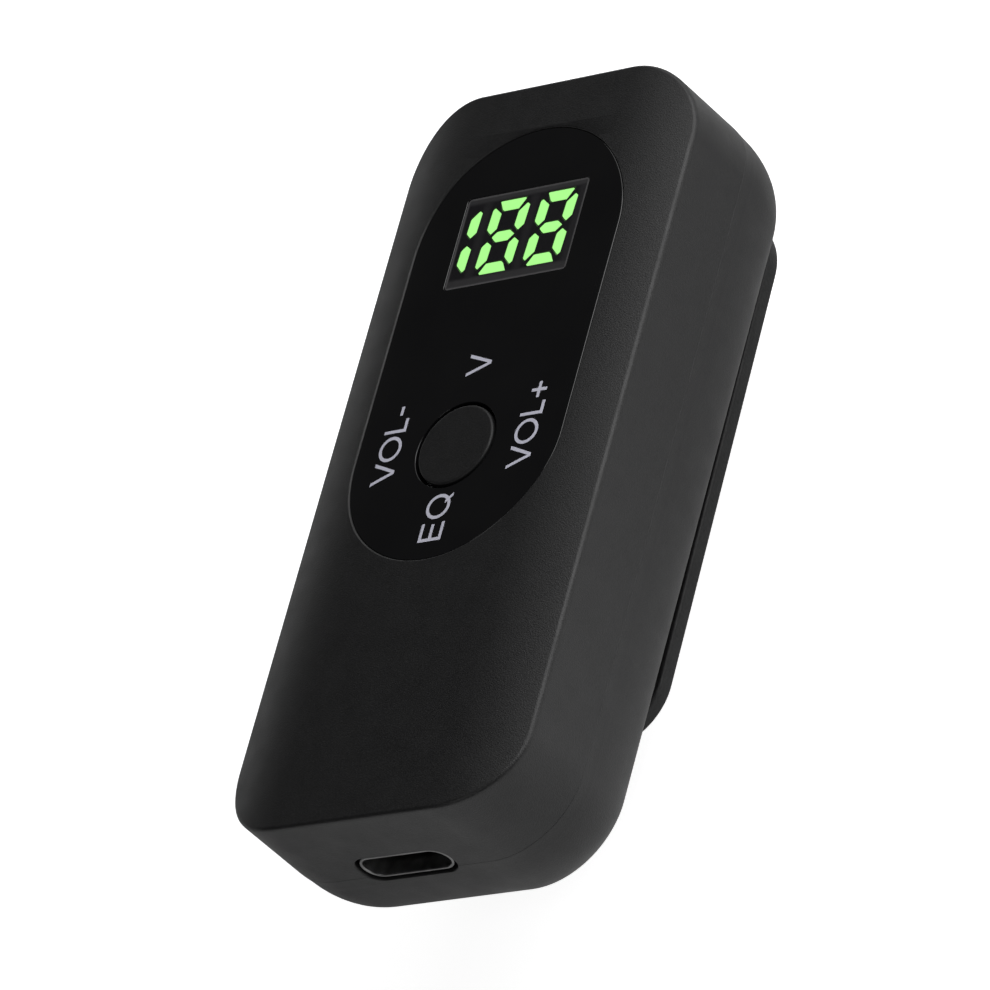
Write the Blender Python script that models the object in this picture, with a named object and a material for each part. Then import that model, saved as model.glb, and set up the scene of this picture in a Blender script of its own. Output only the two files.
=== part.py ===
# Clip-on headphone amplifier: two-part case, gloss lens with a three-digit display,
# a five-way button, boards, battery and sockets inside, and a sprung belt clip at the back.
# X is across the case, Y runs along it towards the sockets, Z points out of the front.
# Z = 0 is the outer face of the clip. Sizes below are millimetres.
import math

import bmesh
import bpy
from mathutils import Matrix, Vector

MM = 0.001

# Case
BODY_WIDTH = 30.7
BODY_LENGTH = 70.8
BODY_DEPTH = 15.8
PLAN_RADIUS = 7.2
CROWN_FLAT = 7.3
CROWN_DROP = 1.7
PARTING_DEPTH = 8.5
PARTING_GAP = 0.15
SIDE_DRAFT = 0.08
REAR_ROUND_HEIGHT = 6.0
REAR_ROUND_INSET = 2.15
WALL = 1.5
FRONT_WALL = 2.4
CEILING_CHAMFER = 2.0
LIP_HEIGHT = 1.2
LIP_SHARE = 0.5

# Clearances
FIT = 0.15
SEAT = 0.2
RUN = 0.1

# Lens
LENS_WIDTH = 21.5
LENS_LENGTH = 41.5
LENS_END_GAP = 4.95
LENS_DEPTH = 1.3
LENS_SINK = 0.12

# Display
DISPLAY_RISE = 0.5
DISPLAY_SHIFT = 0.15
WINDOW_WIDTH = 13.1
WINDOW_HEIGHT = 9.2
DISPLAY_SINK = 0.2
DISPLAY_GAP = 0.1
DISPLAY_WALL = 0.3
DISPLAY_FACE = 0.8
GUIDE_PLATE = 0.8
DISPLAY_BOARD = 0.6
DIGIT_HEIGHT = 7.1
DIGIT_WIDTH = 3.85
DIGIT_PITCH = 5.08
LAST_DIGIT = (3.48, 0.13)
SEGMENT_WIDTH = 0.94
SEGMENT_GAP = 0.39
SEGMENT_POINT = 0.46
SIDE_BAR_INSET = 0.57
SIDE_BAR_LEAN = 0.74
END_BAR_INSET = 0.56
END_BAR_LEAN = 0.54
MIDDLE_BAR_REACH = 0.15
DIGIT_SLANT = math.radians(2.6)

# Five-way button
CAP_RADIUS = 3.78
CAP_GAP = 0.3
CAP_PROUD = -0.15
CAP_THICKNESS = 1.5
CAP_BOSS_RADIUS = 1.4
CAP_BOSS_LENGTH = 0.45
CAP_ROUND = 0.2
STEM_RADIUS = 0.7
PRESS_TRAVEL = 0.25
SWITCH_SIZE = 7.4
SWITCH_HEIGHT = 2.0
SWITCH_FLOOR = 0.3
SWITCH_CAVITY_RADIUS = 2.6
SWITCH_PIVOT = 1.0
COVER_THICKNESS = 0.25
COVER_HOLE_RADIUS = 1.7
ROCKER_RADIUS = 2.35
ROCKER_BORE = 1.65
ROCKER_THICKNESS = 0.5
CARRIER_RADIUS = 1.4
CARRIER_HEIGHT = 0.6
TRUNNION_RADIUS = 0.2
TRUNNION_LENGTH = 0.45
TRUNNION_GAP = 0.12

# Main board and what it carries
BOARD_TOP_DEPTH = 4.8
BOARD_THICKNESS = 1.0
BOARD_WALL_GAP = 0.5
USB_WIDTH = 8.94
USB_HEIGHT = 3.2
USB_LENGTH = 7.3
USB_SHEET = 0.3
USB_RECESS = 0.12
USB_GAP = 0.35
USB_TONGUE_WIDTH = 6.7
USB_TONGUE_THICKNESS = 0.7
USB_TONGUE_LENGTH = 4.4
USB_BLOCK_LENGTH = 1.6
JACK_X = 6.0
JACK_WIDTH = 6.2
JACK_HEIGHT = 5.2
JACK_LENGTH = 11.5
JACK_BORE = 1.8
JACK_BORE_DEPTH = 10.0
BUSH_RADIUS = 2.5
BUSH_LENGTH = 1.9

# Battery
BATTERY_SIDE_GAP = 1.7
BATTERY_END_GAP = 0.4
BATTERY_HEADROOM = 2.1
BATTERY_ROUND = 1.2
FOAM_THICKNESS = 0.8
FOAM_MARGIN = 2.0
CELL_BOARD = (14.0, 1.0, 4.0)
LEAD_SPACE = 1.8
LEAD_RADIUS = 0.4
LEAD_X = 1.3
LEAD_BEND = 1.2

# Case screws
SCREW_SIDE_GAP = 5.55
SCREW_LOWER_END_GAP = 7.8
SCREW_UPPER_END_GAP = 8.4
SCREW_RADIUS = 0.75
SCREW_HEAD_RADIUS = 1.45
SCREW_HEAD_HEIGHT = 1.0
SCREW_HEAD_DEPTH = 4.0
SCREW_TIP_DEPTH = 2.3
SCREW_SLOT = 0.4
SCREW_SLOT_DEPTH = 0.5
REAR_BOSS_RADIUS = 2.4
FRONT_POST_RADIUS = 1.8

# Belt clip
CLIP_THICKNESS = 1.5
CLIP_GAP = 2.83
CLIP_END_GAP = 2.4
CLIP_LENGTH = 51.6
CLIP_TOP_HALF = 11.05
CLIP_TIP_HALF = 11.5
CLIP_TOP_RADIUS = 6.5
CLIP_TIP_RADIUS = 5.4
CLIP_EDGE = 0.3
CLIP_TAB = 14.0
KNUCKLE_GAP = 0.265
KNUCKLE_X = (2.6, 5.0)
EAR_X = (5.3, 7.7)
PIN_RADIUS = 0.5
JAW_END_GAP = 3.0
JAW_HALF_WIDTH = 8.0
JAW_WIDTH = 2.2
SPRING_WIRE = 0.4
SPRING_RADIUS = 0.9
SPRING_PITCH = 0.9
SPRING_TURNS = 3.5
SPRING_LEG = 6.0
SPRING_POINTS_PER_TURN = 16

# Facet counts
CORNER_STEPS = 10
ROUND_SIDES = 32
SMALL_SIDES = 20
CROWN_STEPS = 5
REAR_STEPS = 6

# Levels worked out from the sizes above
BACK = CLIP_THICKNESS + CLIP_GAP
FRONT = BACK + BODY_DEPTH
PARTING = FRONT - PARTING_DEPTH
CEILING = FRONT - FRONT_WALL
FLOOR = BACK + WALL
BOARD_TOP = FRONT - BOARD_TOP_DEPTH
BOARD_UNDER = BOARD_TOP - BOARD_THICKNESS
PIVOT_Z = BOARD_TOP + SEAT + SWITCH_PIVOT
USB_Z = BOARD_UNDER - SEAT - USB_HEIGHT / 2
JACK_Z = BOARD_UNDER - SEAT - JACK_HEIGHT / 2
REAR_ROUND = min(REAR_ROUND_HEIGHT, BODY_DEPTH - PARTING_DEPTH - 2 * PARTING_GAP)
BATTERY_LOW = FLOOR + SEAT + FOAM_THICKNESS + SEAT
BATTERY_HIGH = BOARD_UNDER - BATTERY_HEADROOM
HINGE_Z = CLIP_THICKNESS + CLIP_GAP / 2
KNUCKLE_RADIUS = CLIP_GAP / 2 - KNUCKLE_GAP

# Places along and across the case, worked out from the sizes above
CASE_END = BODY_LENGTH / 2
LENS_CENTRE_Y = CASE_END - LENS_END_GAP - LENS_LENGTH / 2
LENS_ARC_REACH = (LENS_LENGTH - LENS_WIDTH) / 2
DISPLAY_CENTRE = (DISPLAY_SHIFT, LENS_CENTRE_Y + LENS_ARC_REACH + DISPLAY_RISE)
BUTTON_CENTRE = (0.0, LENS_CENTRE_Y - LENS_ARC_REACH)
USB_FRONT = USB_RECESS - CASE_END
USB_REAR = USB_FRONT + USB_LENGTH
JACK_FRONT = CASE_END - BUSH_LENGTH - SEAT
JACK_REAR = JACK_FRONT - JACK_LENGTH
SCREW_X = BODY_WIDTH / 2 - SCREW_SIDE_GAP
SCREW_PLACES = (
    (0.0, CASE_END - SCREW_UPPER_END_GAP),
    (-SCREW_X, SCREW_LOWER_END_GAP - CASE_END),
    (SCREW_X, SCREW_LOWER_END_GAP - CASE_END),
)
BATTERY_WIDTH = BODY_WIDTH - 2 * (WALL + REAR_ROUND_INSET + BATTERY_SIDE_GAP)
BATTERY_START = SCREW_LOWER_END_GAP - CASE_END + REAR_BOSS_RADIUS + BATTERY_END_GAP
BATTERY_END = JACK_REAR - LEAD_SPACE - CELL_BOARD[1] - SEAT
CLIP_TOP_Y = CASE_END - CLIP_END_GAP
CLIP_TIP_Y = CLIP_TOP_Y - CLIP_LENGTH
HINGE_Y = CLIP_TOP_Y - CLIP_TAB
JAW_Y = CLIP_TIP_Y + JAW_END_GAP


# Modelling helpers

def material(name, colour, roughness, metallic=0.0):
    mat = bpy.data.materials.new(name)
    mat.use_nodes = True
    shader = mat.node_tree.nodes["Principled BSDF"]
    shader.inputs["Base Color"].default_value = (*colour, 1.0)
    shader.inputs["Roughness"].default_value = roughness
    shader.inputs["Metallic"].default_value = metallic
    return mat


def add_object(name, mesh_builder, mat=None, origin=(0.0, 0.0, 0.0)):
    """An object from a bmesh in millimetres, with its origin at the given point."""
    bmesh.ops.recalc_face_normals(mesh_builder, faces=mesh_builder.faces)
    bmesh.ops.translate(mesh_builder, verts=mesh_builder.verts, vec=-Vector(origin))
    bmesh.ops.scale(mesh_builder, verts=mesh_builder.verts, vec=(MM, MM, MM))
    mesh = bpy.data.meshes.new(name)
    mesh_builder.to_mesh(mesh)
    mesh_builder.free()
    mesh.shade_smooth()
    mesh.set_sharp_from_angle(angle=math.radians(35.0))
    if mat:
        mesh.materials.append(mat)
    obj = bpy.data.objects.new(name, mesh)
    obj.location = Vector(origin) * MM
    bpy.context.scene.collection.objects.link(obj)
    return obj


def combine(obj, tool, operation):
    """Applies an exact Boolean and drops the tool."""
    bpy.context.view_layer.update()
    modifier = obj.modifiers.new(operation.lower(), "BOOLEAN")
    modifier.operation = operation
    modifier.solver = "EXACT"
    modifier.object = tool
    with bpy.context.temp_override(object=obj, active_object=obj, selected_objects=[obj]):
        bpy.ops.object.modifier_apply(modifier=modifier.name)
    bpy.data.objects.remove(tool)


def cut(obj, *tools):
    for tool in tools:
        combine(obj, tool, "DIFFERENCE")


def fuse(obj, *tools):
    for tool in tools:
        combine(obj, tool, "UNION")


def arc(centre, radius, start, end, steps):
    """Points on an arc in a plane, both ends included, angles in degrees."""
    points = []
    for i in range(steps + 1):
        angle = math.radians(start + (end - start) * i / steps)
        points.append((centre[0] + radius * math.cos(angle), centre[1] + radius * math.sin(angle)))
    return points


def rounded_outline(width, length, radius, steps=CORNER_STEPS):
    """A rounded rectangle about the origin, counterclockwise."""
    x = width / 2 - radius
    y = length / 2 - radius
    points = arc((x, y), radius, 0, 90, steps)
    points += arc((-x, y), radius, 90, 180, steps)
    points += arc((-x, -y), radius, 180, 270, steps)
    points += arc((x, -y), radius, 270, 360, steps)
    return points


def loft(rings):
    """A closed mesh through rings of equal point counts, capped at both ends."""
    mesh = bmesh.new()
    loops = [[mesh.verts.new(point) for point in ring] for ring in rings]
    count = len(loops[0])
    for lower, upper in zip(loops, loops[1:]):
        for i in range(count):
            j = (i + 1) % count
            mesh.faces.new((lower[i], lower[j], upper[j], upper[i]))
    mesh.faces.new(list(reversed(loops[0])))
    mesh.faces.new(loops[-1])
    return mesh


def flat_ring(points, z):
    return [(x, y, z) for x, y in points]


def prism(points, low, high):
    return loft([flat_ring(points, low), flat_ring(points, high)])


def block(low, high):
    """A box between two corners."""
    points = [(low[0], low[1]), (high[0], low[1]), (high[0], high[1]), (low[0], high[1])]
    return prism(points, low[2], high[2])


def block_at(centre, size):
    low = [c - s / 2 for c, s in zip(centre, size)]
    high = [c + s / 2 for c, s in zip(centre, size)]
    return block(low, high)


def shifted(points, x, y):
    return [(px + x, py + y) for px, py in points]


def circle(radius, sides):
    return [(radius * math.cos(2 * math.pi * i / sides), radius * math.sin(2 * math.pi * i / sides))
            for i in range(sides)]


def turned(profile, sides, centre):
    """A solid of (radius, height) rings about a vertical axis through centre."""
    rings = [flat_ring(shifted(circle(radius, sides), *centre), z) for radius, z in profile]
    return loft(rings)


def disc(radius, low, high, centre, sides=ROUND_SIDES):
    return turned([(radius, low), (radius, high)], sides, centre)


def along_x(mesh, pivot_y, pivot_z):
    """Turns a mesh built about Z so that its axis is X, through the given line."""
    turn = Matrix.Rotation(math.radians(90.0), 4, "Y")
    bmesh.ops.transform(mesh, verts=mesh.verts, matrix=Matrix.Translation((0, pivot_y, pivot_z)) @ turn)
    return mesh


def along_y(mesh, x, z):
    """Turns a mesh built about Z so that its axis is Y, through the given line."""
    turn = Matrix.Rotation(math.radians(-90.0), 4, "X")
    bmesh.ops.transform(mesh, verts=mesh.verts, matrix=Matrix.Translation((x, 0, z)) @ turn)
    return mesh


def tube(path, radius, sides):
    """A round wire along a path of points."""
    points = [Vector(point) for point in path]
    rings = []
    side = None
    for i, point in enumerate(points):
        ahead = points[min(i + 1, len(points) - 1)] - points[max(i - 1, 0)]
        ahead.normalize()
        if side is None:
            side = ahead.orthogonal().normalized()
        side = (side - ahead * side.dot(ahead)).normalized()
        other = ahead.cross(side)
        rings.append([point + radius * (side * c + other * s) for c, s in circle(1.0, sides)])
    return loft(rings)


# Case shells

def crown_drop(x):
    """How far the crowned front falls below its flat middle at this distance across."""
    run = max(abs(x) - CROWN_FLAT, 0.0)
    span = BODY_WIDTH / 2 - CROWN_FLAT
    radius = (span ** 2 + CROWN_DROP ** 2) / (2 * CROWN_DROP)
    return radius - math.sqrt(max(radius ** 2 - run ** 2, 0.0))


def case_outline(offset):
    """The case's plan outline, drawn in by offset."""
    radius = max(PLAN_RADIUS - offset, 0.8)
    return rounded_outline(BODY_WIDTH - 2 * offset, BODY_LENGTH - 2 * offset, radius)


def rear_outline(inset, offset):
    """The rear shell's plan outline, whose corners keep their radius as its back rounds in."""
    drawn_in = 2 * (inset + offset)
    radius = max(PLAN_RADIUS - offset, 0.8)
    return rounded_outline(BODY_WIDTH - drawn_in, BODY_LENGTH - drawn_in, radius)


def crowned_ring(points, sink=0.0):
    return [(x, y, FRONT - crown_drop(x) - sink) for x, y in points]


def usb_cutter():
    outline = rounded_outline(USB_WIDTH + 2 * USB_GAP, USB_HEIGHT + 2 * USB_GAP, USB_HEIGHT / 2)
    mesh = along_y(prism(outline, -BODY_LENGTH, WALL + USB_FRONT), 0.0, USB_Z)
    return add_object("usb_cutter", mesh)


def jack_cutter(x):
    mesh = disc(BUSH_RADIUS + FIT, CASE_END - 2 * WALL, BODY_LENGTH, (0.0, 0.0))
    return add_object("jack_cutter", along_y(mesh, x, JACK_Z))


def socket_cutters():
    return [usb_cutter(), jack_cutter(-JACK_X), jack_cutter(JACK_X)]


def lens_outline(offset):
    width = LENS_WIDTH - 2 * offset
    outline = rounded_outline(width, LENS_LENGTH - 2 * offset, width / 2 - 0.01)
    return shifted(outline, 0.0, LENS_CENTRE_Y)


def window_outline(offset):
    outline = rounded_outline(WINDOW_WIDTH - 2 * offset, WINDOW_HEIGHT - 2 * offset, 0.4, 3)
    return shifted(outline, *DISPLAY_CENTRE)


def front_shell(mat):
    crown_inset = BODY_WIDTH / 2 - CROWN_FLAT + 0.1
    insets = [crown_inset * (1 - i / CROWN_STEPS) for i in range(CROWN_STEPS + 1)]
    rings = [crowned_ring(case_outline(inset)) for inset in insets]
    rebate = WALL * LIP_SHARE - FIT
    rebate_top = PARTING + LIP_HEIGHT + SEAT
    rings.append(flat_ring(case_outline(-SIDE_DRAFT), PARTING))
    rings.append(flat_ring(case_outline(rebate), PARTING))
    rings.append(flat_ring(case_outline(rebate), rebate_top))
    rings.append(flat_ring(case_outline(WALL), rebate_top))
    rings.append(flat_ring(case_outline(WALL), CEILING - CEILING_CHAMFER))
    rings.append(flat_ring(case_outline(WALL + CEILING_CHAMFER), CEILING))
    shell = add_object("front_shell", loft(rings), mat)
    for place in SCREW_PLACES:
        fuse(shell, add_object("post", disc(FRONT_POST_RADIUS, BOARD_TOP + SEAT, CEILING + 0.5, place)))
    pocket_floor = FRONT - LENS_DEPTH - SEAT
    cut(
        shell,
        add_object("pocket", prism(lens_outline(-FIT), pocket_floor, FRONT + 1.0)),
        add_object("window", prism(window_outline(0.0), CEILING - 1.0, FRONT)),
        add_object("button_hole", disc(CAP_RADIUS + CAP_GAP, CEILING - 1.0, FRONT, BUTTON_CENTRE)),
        *socket_cutters(),
    )
    pilot_end = FRONT - SCREW_TIP_DEPTH + SEAT
    for place in SCREW_PLACES:
        pilot = disc(SCREW_RADIUS + RUN, BOARD_TOP - 1.0, pilot_end, place, SMALL_SIDES)
        cut(shell, add_object("pilot", pilot))
    return shell


def rear_rings(offset, lowest):
    """Rings up the rear shell's rounded side, from its flat back to the end of the rounding."""
    rings = []
    for i in range(REAR_STEPS + 1):
        angle = math.radians(90.0 * (1 - i / REAR_STEPS))
        inset = REAR_ROUND_INSET * (1 - math.cos(angle))
        z = BACK + REAR_ROUND * (1 - math.sin(angle))
        if z > lowest + 0.3 or i == 0:
            rings.append(flat_ring(rear_outline(inset, offset), max(z, lowest)))
    return rings


def hinge_tab(x_range, wall_z):
    """A knuckle or an ear: half round about the hinge line and straight from there to its wall."""
    reach = abs(wall_z - HINGE_Z)
    facing = math.copysign(1.0, wall_z - HINGE_Z)
    section = arc((0.0, 0.0), KNUCKLE_RADIUS, 180, 360, SMALL_SIDES // 2)
    section += [(KNUCKLE_RADIUS, reach), (-KNUCKLE_RADIUS, reach)]
    rings = [[(x, HINGE_Y + y, HINGE_Z + facing * z) for y, z in section] for x in x_range]
    return add_object("tab", loft(rings))


def pin_bore(half):
    mesh = disc(PIN_RADIUS + RUN, -half, half, (0.0, 0.0), SMALL_SIDES)
    return add_object("pin_bore", along_x(mesh, HINGE_Y, HINGE_Z))


def both_sides(x_range):
    return [x_range, (-x_range[1], -x_range[0])]


def rear_shell(mat):
    lip = WALL * LIP_SHARE
    top = PARTING - PARTING_GAP
    rings = rear_rings(0.0, BACK)
    rings.append(flat_ring(case_outline(-SIDE_DRAFT), top))
    rings.append(flat_ring(case_outline(lip), top))
    rings.append(flat_ring(case_outline(lip), PARTING + LIP_HEIGHT))
    rings.append(flat_ring(case_outline(WALL), PARTING + LIP_HEIGHT))
    rings += reversed(rear_rings(WALL, FLOOR))
    shell = add_object("rear_shell", loft(rings), mat)
    for place in SCREW_PLACES:
        fuse(shell, add_object("boss", disc(REAR_BOSS_RADIUS, FLOOR - 0.5, BOARD_UNDER - SEAT, place)))
    for x_range in both_sides(EAR_X):
        fuse(shell, hinge_tab(x_range, BACK + 0.5))
    cut(shell, *socket_cutters())
    for place in SCREW_PLACES:
        head_seat = BACK + SCREW_HEAD_DEPTH
        cut(
            shell,
            add_object("counterbore", disc(SCREW_HEAD_RADIUS + SEAT, BACK - 1.0, head_seat, place)),
            add_object("screw_hole", disc(SCREW_RADIUS + SEAT, BACK, BOARD_TOP, place, SMALL_SIDES)),
        )
    cut(shell, pin_bore(BODY_WIDTH / 2))
    return shell


def lens_panel(mat):
    half = LENS_WIDTH / 2
    crown_inset = max(half - CROWN_FLAT + 0.1, 0.5)
    steps = 3
    rings = [crowned_ring(lens_outline(crown_inset * (1 - i / steps)), LENS_SINK) for i in range(steps + 1)]
    rings.append(flat_ring(lens_outline(0.0), FRONT - LENS_DEPTH))
    lens = add_object("lens_panel", loft(rings), mat)
    hole_low = FRONT - 2 * LENS_DEPTH
    cut(
        lens,
        add_object("window", prism(window_outline(0.0), hole_low, FRONT + 1.0)),
        add_object("button_hole", disc(CAP_RADIUS + CAP_GAP, hole_low, FRONT + 1.0, BUTTON_CENTRE)),
    )
    return lens


# Display module

def slanted(points, centre):
    lean = math.tan(DIGIT_SLANT)
    return [(centre[0] + x + y * lean, centre[1] + y) for x, y in points]


def digit_segments():
    """The seven bars of a digit about its own centre: upper and lower sides, then top, bottom, middle."""
    w = DIGIT_WIDTH / 2
    h = DIGIT_HEIGHT / 2
    t = SEGMENT_WIDTH
    g = SEGMENT_GAP
    corner = 0.2
    side_top = h - SIDE_BAR_INSET
    upper_right = [
        (w - t, g + SEGMENT_POINT),
        (w - t / 2, g),
        (w, g + SEGMENT_POINT),
        (w, side_top - corner),
        (w - corner, side_top),
        (w - t, side_top - SIDE_BAR_LEAN),
    ]
    reach = w - END_BAR_INSET
    top = [(-reach, h), (reach, h), (reach - END_BAR_LEAN, h - t), (END_BAR_LEAN - reach, h - t)]
    tip = w - t + MIDDLE_BAR_REACH
    inner = tip - SEGMENT_POINT
    middle = [(-tip, 0), (-inner, -t / 2), (inner, -t / 2), (tip, 0), (inner, t / 2), (-inner, t / 2)]

    def mirrored(points, sx, sy):
        return [(sx * x, sy * y) for x, y in points]

    sides = [mirrored(upper_right, sx, sy) for sx, sy in ((1, 1), (1, -1), (-1, 1), (-1, -1))]
    return sides + [top, mirrored(top, 1, -1), middle]


def counterclockwise(points):
    area = sum(a[0] * b[1] - b[0] * a[1] for a, b in zip(points, points[1:] + points[:1]))
    return points if area > 0 else points[::-1]


def lit_segments():
    """Outlines of the bars of 188: two of the first digit, all of the other two."""
    bars = digit_segments()
    last_x = DISPLAY_CENTRE[0] + LAST_DIGIT[0]
    y = DISPLAY_CENTRE[1] + LAST_DIGIT[1]
    outlines = []
    for place, chosen in ((-2, bars[:2]), (-1, bars), (0, bars)):
        centre = (last_x + place * DIGIT_PITCH, y)
        outlines += [counterclockwise(slanted(points, centre)) for points in chosen]
    return outlines


def grown(points, margin):
    """A convex outline moved out by margin on every side."""
    result = []
    count = len(points)
    for i in range(count):
        before = Vector(points[i]) - Vector(points[i - 1])
        after = Vector(points[(i + 1) % count]) - Vector(points[i])
        n1 = Vector((before.y, -before.x)).normalized()
        n2 = Vector((after.y, -after.x)).normalized()
        move = (n1 + n2) * (margin / (1 + n1.dot(n2)))
        result.append((points[i][0] + move.x, points[i][1] + move.y))
    return result


def display_housing(mat):
    face = FRONT - DISPLAY_SINK
    housing = add_object("display_housing", prism(window_outline(DISPLAY_GAP), BOARD_TOP + SEAT, face), mat)
    hollow = prism(window_outline(DISPLAY_GAP + DISPLAY_WALL), BOARD_TOP, face - DISPLAY_FACE)
    cut(housing, add_object("hollow", hollow))
    for points in lit_segments():
        cut(housing, add_object("bar", prism(grown(points, RUN), face - 2 * DISPLAY_FACE, face + 1.0)))
    return housing


def display_guide(mat):
    face = FRONT - DISPLAY_SINK
    plate_top = face - DISPLAY_FACE - RUN
    outline = window_outline(DISPLAY_GAP + DISPLAY_WALL + SEAT)
    guide = add_object("display_guide", prism(outline, plate_top - GUIDE_PLATE, plate_top), mat)
    for points in lit_segments():
        fuse(guide, add_object("bar", prism(points, plate_top - GUIDE_PLATE / 2, face)))
    return guide


def display_board(mat):
    outline = window_outline(DISPLAY_GAP + DISPLAY_WALL + SEAT)
    low = BOARD_TOP + SEAT
    return add_object("display_board", prism(outline, low, low + DISPLAY_BOARD), mat)


# Five-way button

def button_cap(mat, origin):
    top = FRONT + CAP_PROUD
    under = top - CAP_THICKNESS
    profile = [
        (CAP_BOSS_RADIUS, under - CAP_BOSS_LENGTH),
        (CAP_BOSS_RADIUS, under),
        (CAP_RADIUS, under),
        (CAP_RADIUS, top - CAP_ROUND),
        (CAP_RADIUS - CAP_ROUND * 0.3, top - CAP_ROUND * 0.3),
        (CAP_RADIUS - CAP_ROUND, top),
    ]
    cap = add_object("button_cap", turned(profile, ROUND_SIDES * 2, origin[:2]), mat, origin)
    socket_top = under + CAP_THICKNESS / 2
    socket_low = under - 2 * CAP_BOSS_LENGTH
    socket = disc(STEM_RADIUS + RUN, socket_low, socket_top, origin[:2], SMALL_SIDES)
    cut(cap, add_object("socket", socket))
    return cap


def nav_stem(mat, origin):
    top = FRONT + CAP_PROUD - CAP_THICKNESS / 2 - RUN
    foot = BOARD_TOP + SEAT + SWITCH_FLOOR + PRESS_TRAVEL + RUN
    return add_object("nav_stem", disc(STEM_RADIUS, foot, top, origin[:2], SMALL_SIDES), mat, origin)


def trunnions(direction, inner, outer, centre, radius):
    """Two short pins on opposite sides of a ring, on the pivot line."""
    pins = []
    for low, high in ((inner, outer), (-outer, -inner)):
        if direction == "X":
            mesh = along_x(disc(radius, low, high, (0.0, 0.0), 12), centre[1], PIVOT_Z)
        else:
            mesh = along_y(disc(radius, low, high, (0.0, 0.0), 12), centre[0], PIVOT_Z)
            bmesh.ops.translate(mesh, verts=mesh.verts, vec=(0.0, centre[1], 0.0))
        pins.append(add_object("pin", mesh))
    return pins


def nav_rocker(mat, origin):
    centre = origin[:2]
    half = ROCKER_THICKNESS / 2
    ring = disc(ROCKER_RADIUS, PIVOT_Z - half, PIVOT_Z + half, centre)
    rocker = add_object("nav_rocker", ring, mat, origin)
    reach = ROCKER_RADIUS + TRUNNION_LENGTH
    fuse(rocker, *trunnions("X", ROCKER_RADIUS - 0.3, reach, centre, TRUNNION_RADIUS))
    slot_reach = CARRIER_RADIUS + TRUNNION_LENGTH + TRUNNION_GAP
    slot = TRUNNION_RADIUS + TRUNNION_GAP
    low = (centre[0] - slot, centre[1] - slot_reach, PIVOT_Z - slot)
    high = (centre[0] + slot, centre[1] + slot_reach, PIVOT_Z + ROCKER_THICKNESS)
    cut(
        rocker,
        add_object("bore", disc(ROCKER_BORE, PIVOT_Z - 1.0, PIVOT_Z + 1.0, centre)),
        add_object("slot", block(low, high)),
    )
    return rocker


def nav_carrier(mat, origin):
    centre = origin[:2]
    half = CARRIER_HEIGHT / 2
    body = disc(CARRIER_RADIUS, PIVOT_Z - half, PIVOT_Z + half, centre)
    carrier = add_object("nav_carrier", body, mat, origin)
    reach = CARRIER_RADIUS + TRUNNION_LENGTH
    fuse(carrier, *trunnions("Y", CARRIER_RADIUS - 0.3, reach, centre, TRUNNION_RADIUS))
    bore = STEM_RADIUS + RUN + 0.05
    cut(carrier, add_object("bore", disc(bore, PIVOT_Z - 1.0, PIVOT_Z + 1.0, centre, SMALL_SIDES)))
    return carrier


def nav_base(mat):
    low = BOARD_TOP + SEAT
    high = low + SWITCH_HEIGHT - COVER_THICKNESS - RUN
    outline = shifted(rounded_outline(SWITCH_SIZE, SWITCH_SIZE, 0.5, 3), *BUTTON_CENTRE)
    base = add_object("nav_base", prism(outline, low, high), mat)
    slot_reach = ROCKER_RADIUS + TRUNNION_LENGTH + TRUNNION_GAP
    slot = TRUNNION_RADIUS + TRUNNION_GAP
    slot_low = (-slot_reach, BUTTON_CENTRE[1] - slot, PIVOT_Z - slot)
    slot_high = (slot_reach, BUTTON_CENTRE[1] + slot, high + 1.0)
    cut(
        base,
        add_object("cavity", disc(SWITCH_CAVITY_RADIUS, low + SWITCH_FLOOR, high + 1.0, BUTTON_CENTRE)),
        add_object("slot", block(slot_low, slot_high)),
    )
    return base


def nav_cover(mat):
    high = BOARD_TOP + SEAT + SWITCH_HEIGHT
    outline = shifted(rounded_outline(SWITCH_SIZE, SWITCH_SIZE, 0.5, 3), *BUTTON_CENTRE)
    cover = add_object("nav_cover", prism(outline, high - COVER_THICKNESS, high), mat)
    cut(cover, add_object("hole", disc(COVER_HOLE_RADIUS, high - 1.0, high + 1.0, BUTTON_CENTRE)))
    return cover


# Boards, chips, sockets and battery

def main_board(mat):
    board = add_object("main_board", prism(case_outline(WALL + BOARD_WALL_GAP), BOARD_UNDER, BOARD_TOP), mat)
    for place in SCREW_PLACES:
        hole = disc(SCREW_RADIUS + SEAT, BOARD_UNDER - 1.0, BOARD_TOP + 1.0, place, SMALL_SIDES)
        cut(board, add_object("hole", hole))
    return board


def component(name, place, size, side, mat):
    """A chip or other small block on the top (+1) or underside (-1) of the main board."""
    width, length, height = size
    foot = BOARD_TOP + SEAT if side > 0 else BOARD_UNDER - SEAT
    edge = 0.15 * height
    outline = shifted(rounded_outline(width, length, 2 * edge, 2), *place)
    top = shifted(rounded_outline(width - 2 * edge, length - 2 * edge, edge, 2), *place)
    rings = [
        flat_ring(outline, foot),
        flat_ring(outline, foot + side * (height - edge)),
        flat_ring(top, foot + side * height),
    ]
    return add_object(name, loft(rings), mat)


def usb_outline(offset):
    height = USB_HEIGHT - 2 * offset
    return rounded_outline(USB_WIDTH - 2 * offset, height, height / 2 - 0.01, 6)


def usb_shell(mat):
    shell = add_object("usb_shell", along_y(prism(usb_outline(0.0), USB_FRONT, USB_REAR), 0.0, USB_Z), mat)
    bore = along_y(prism(usb_outline(USB_SHEET), USB_FRONT - 1.0, USB_REAR + 1.0), 0.0, USB_Z)
    cut(shell, add_object("bore", bore))
    return shell


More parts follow.
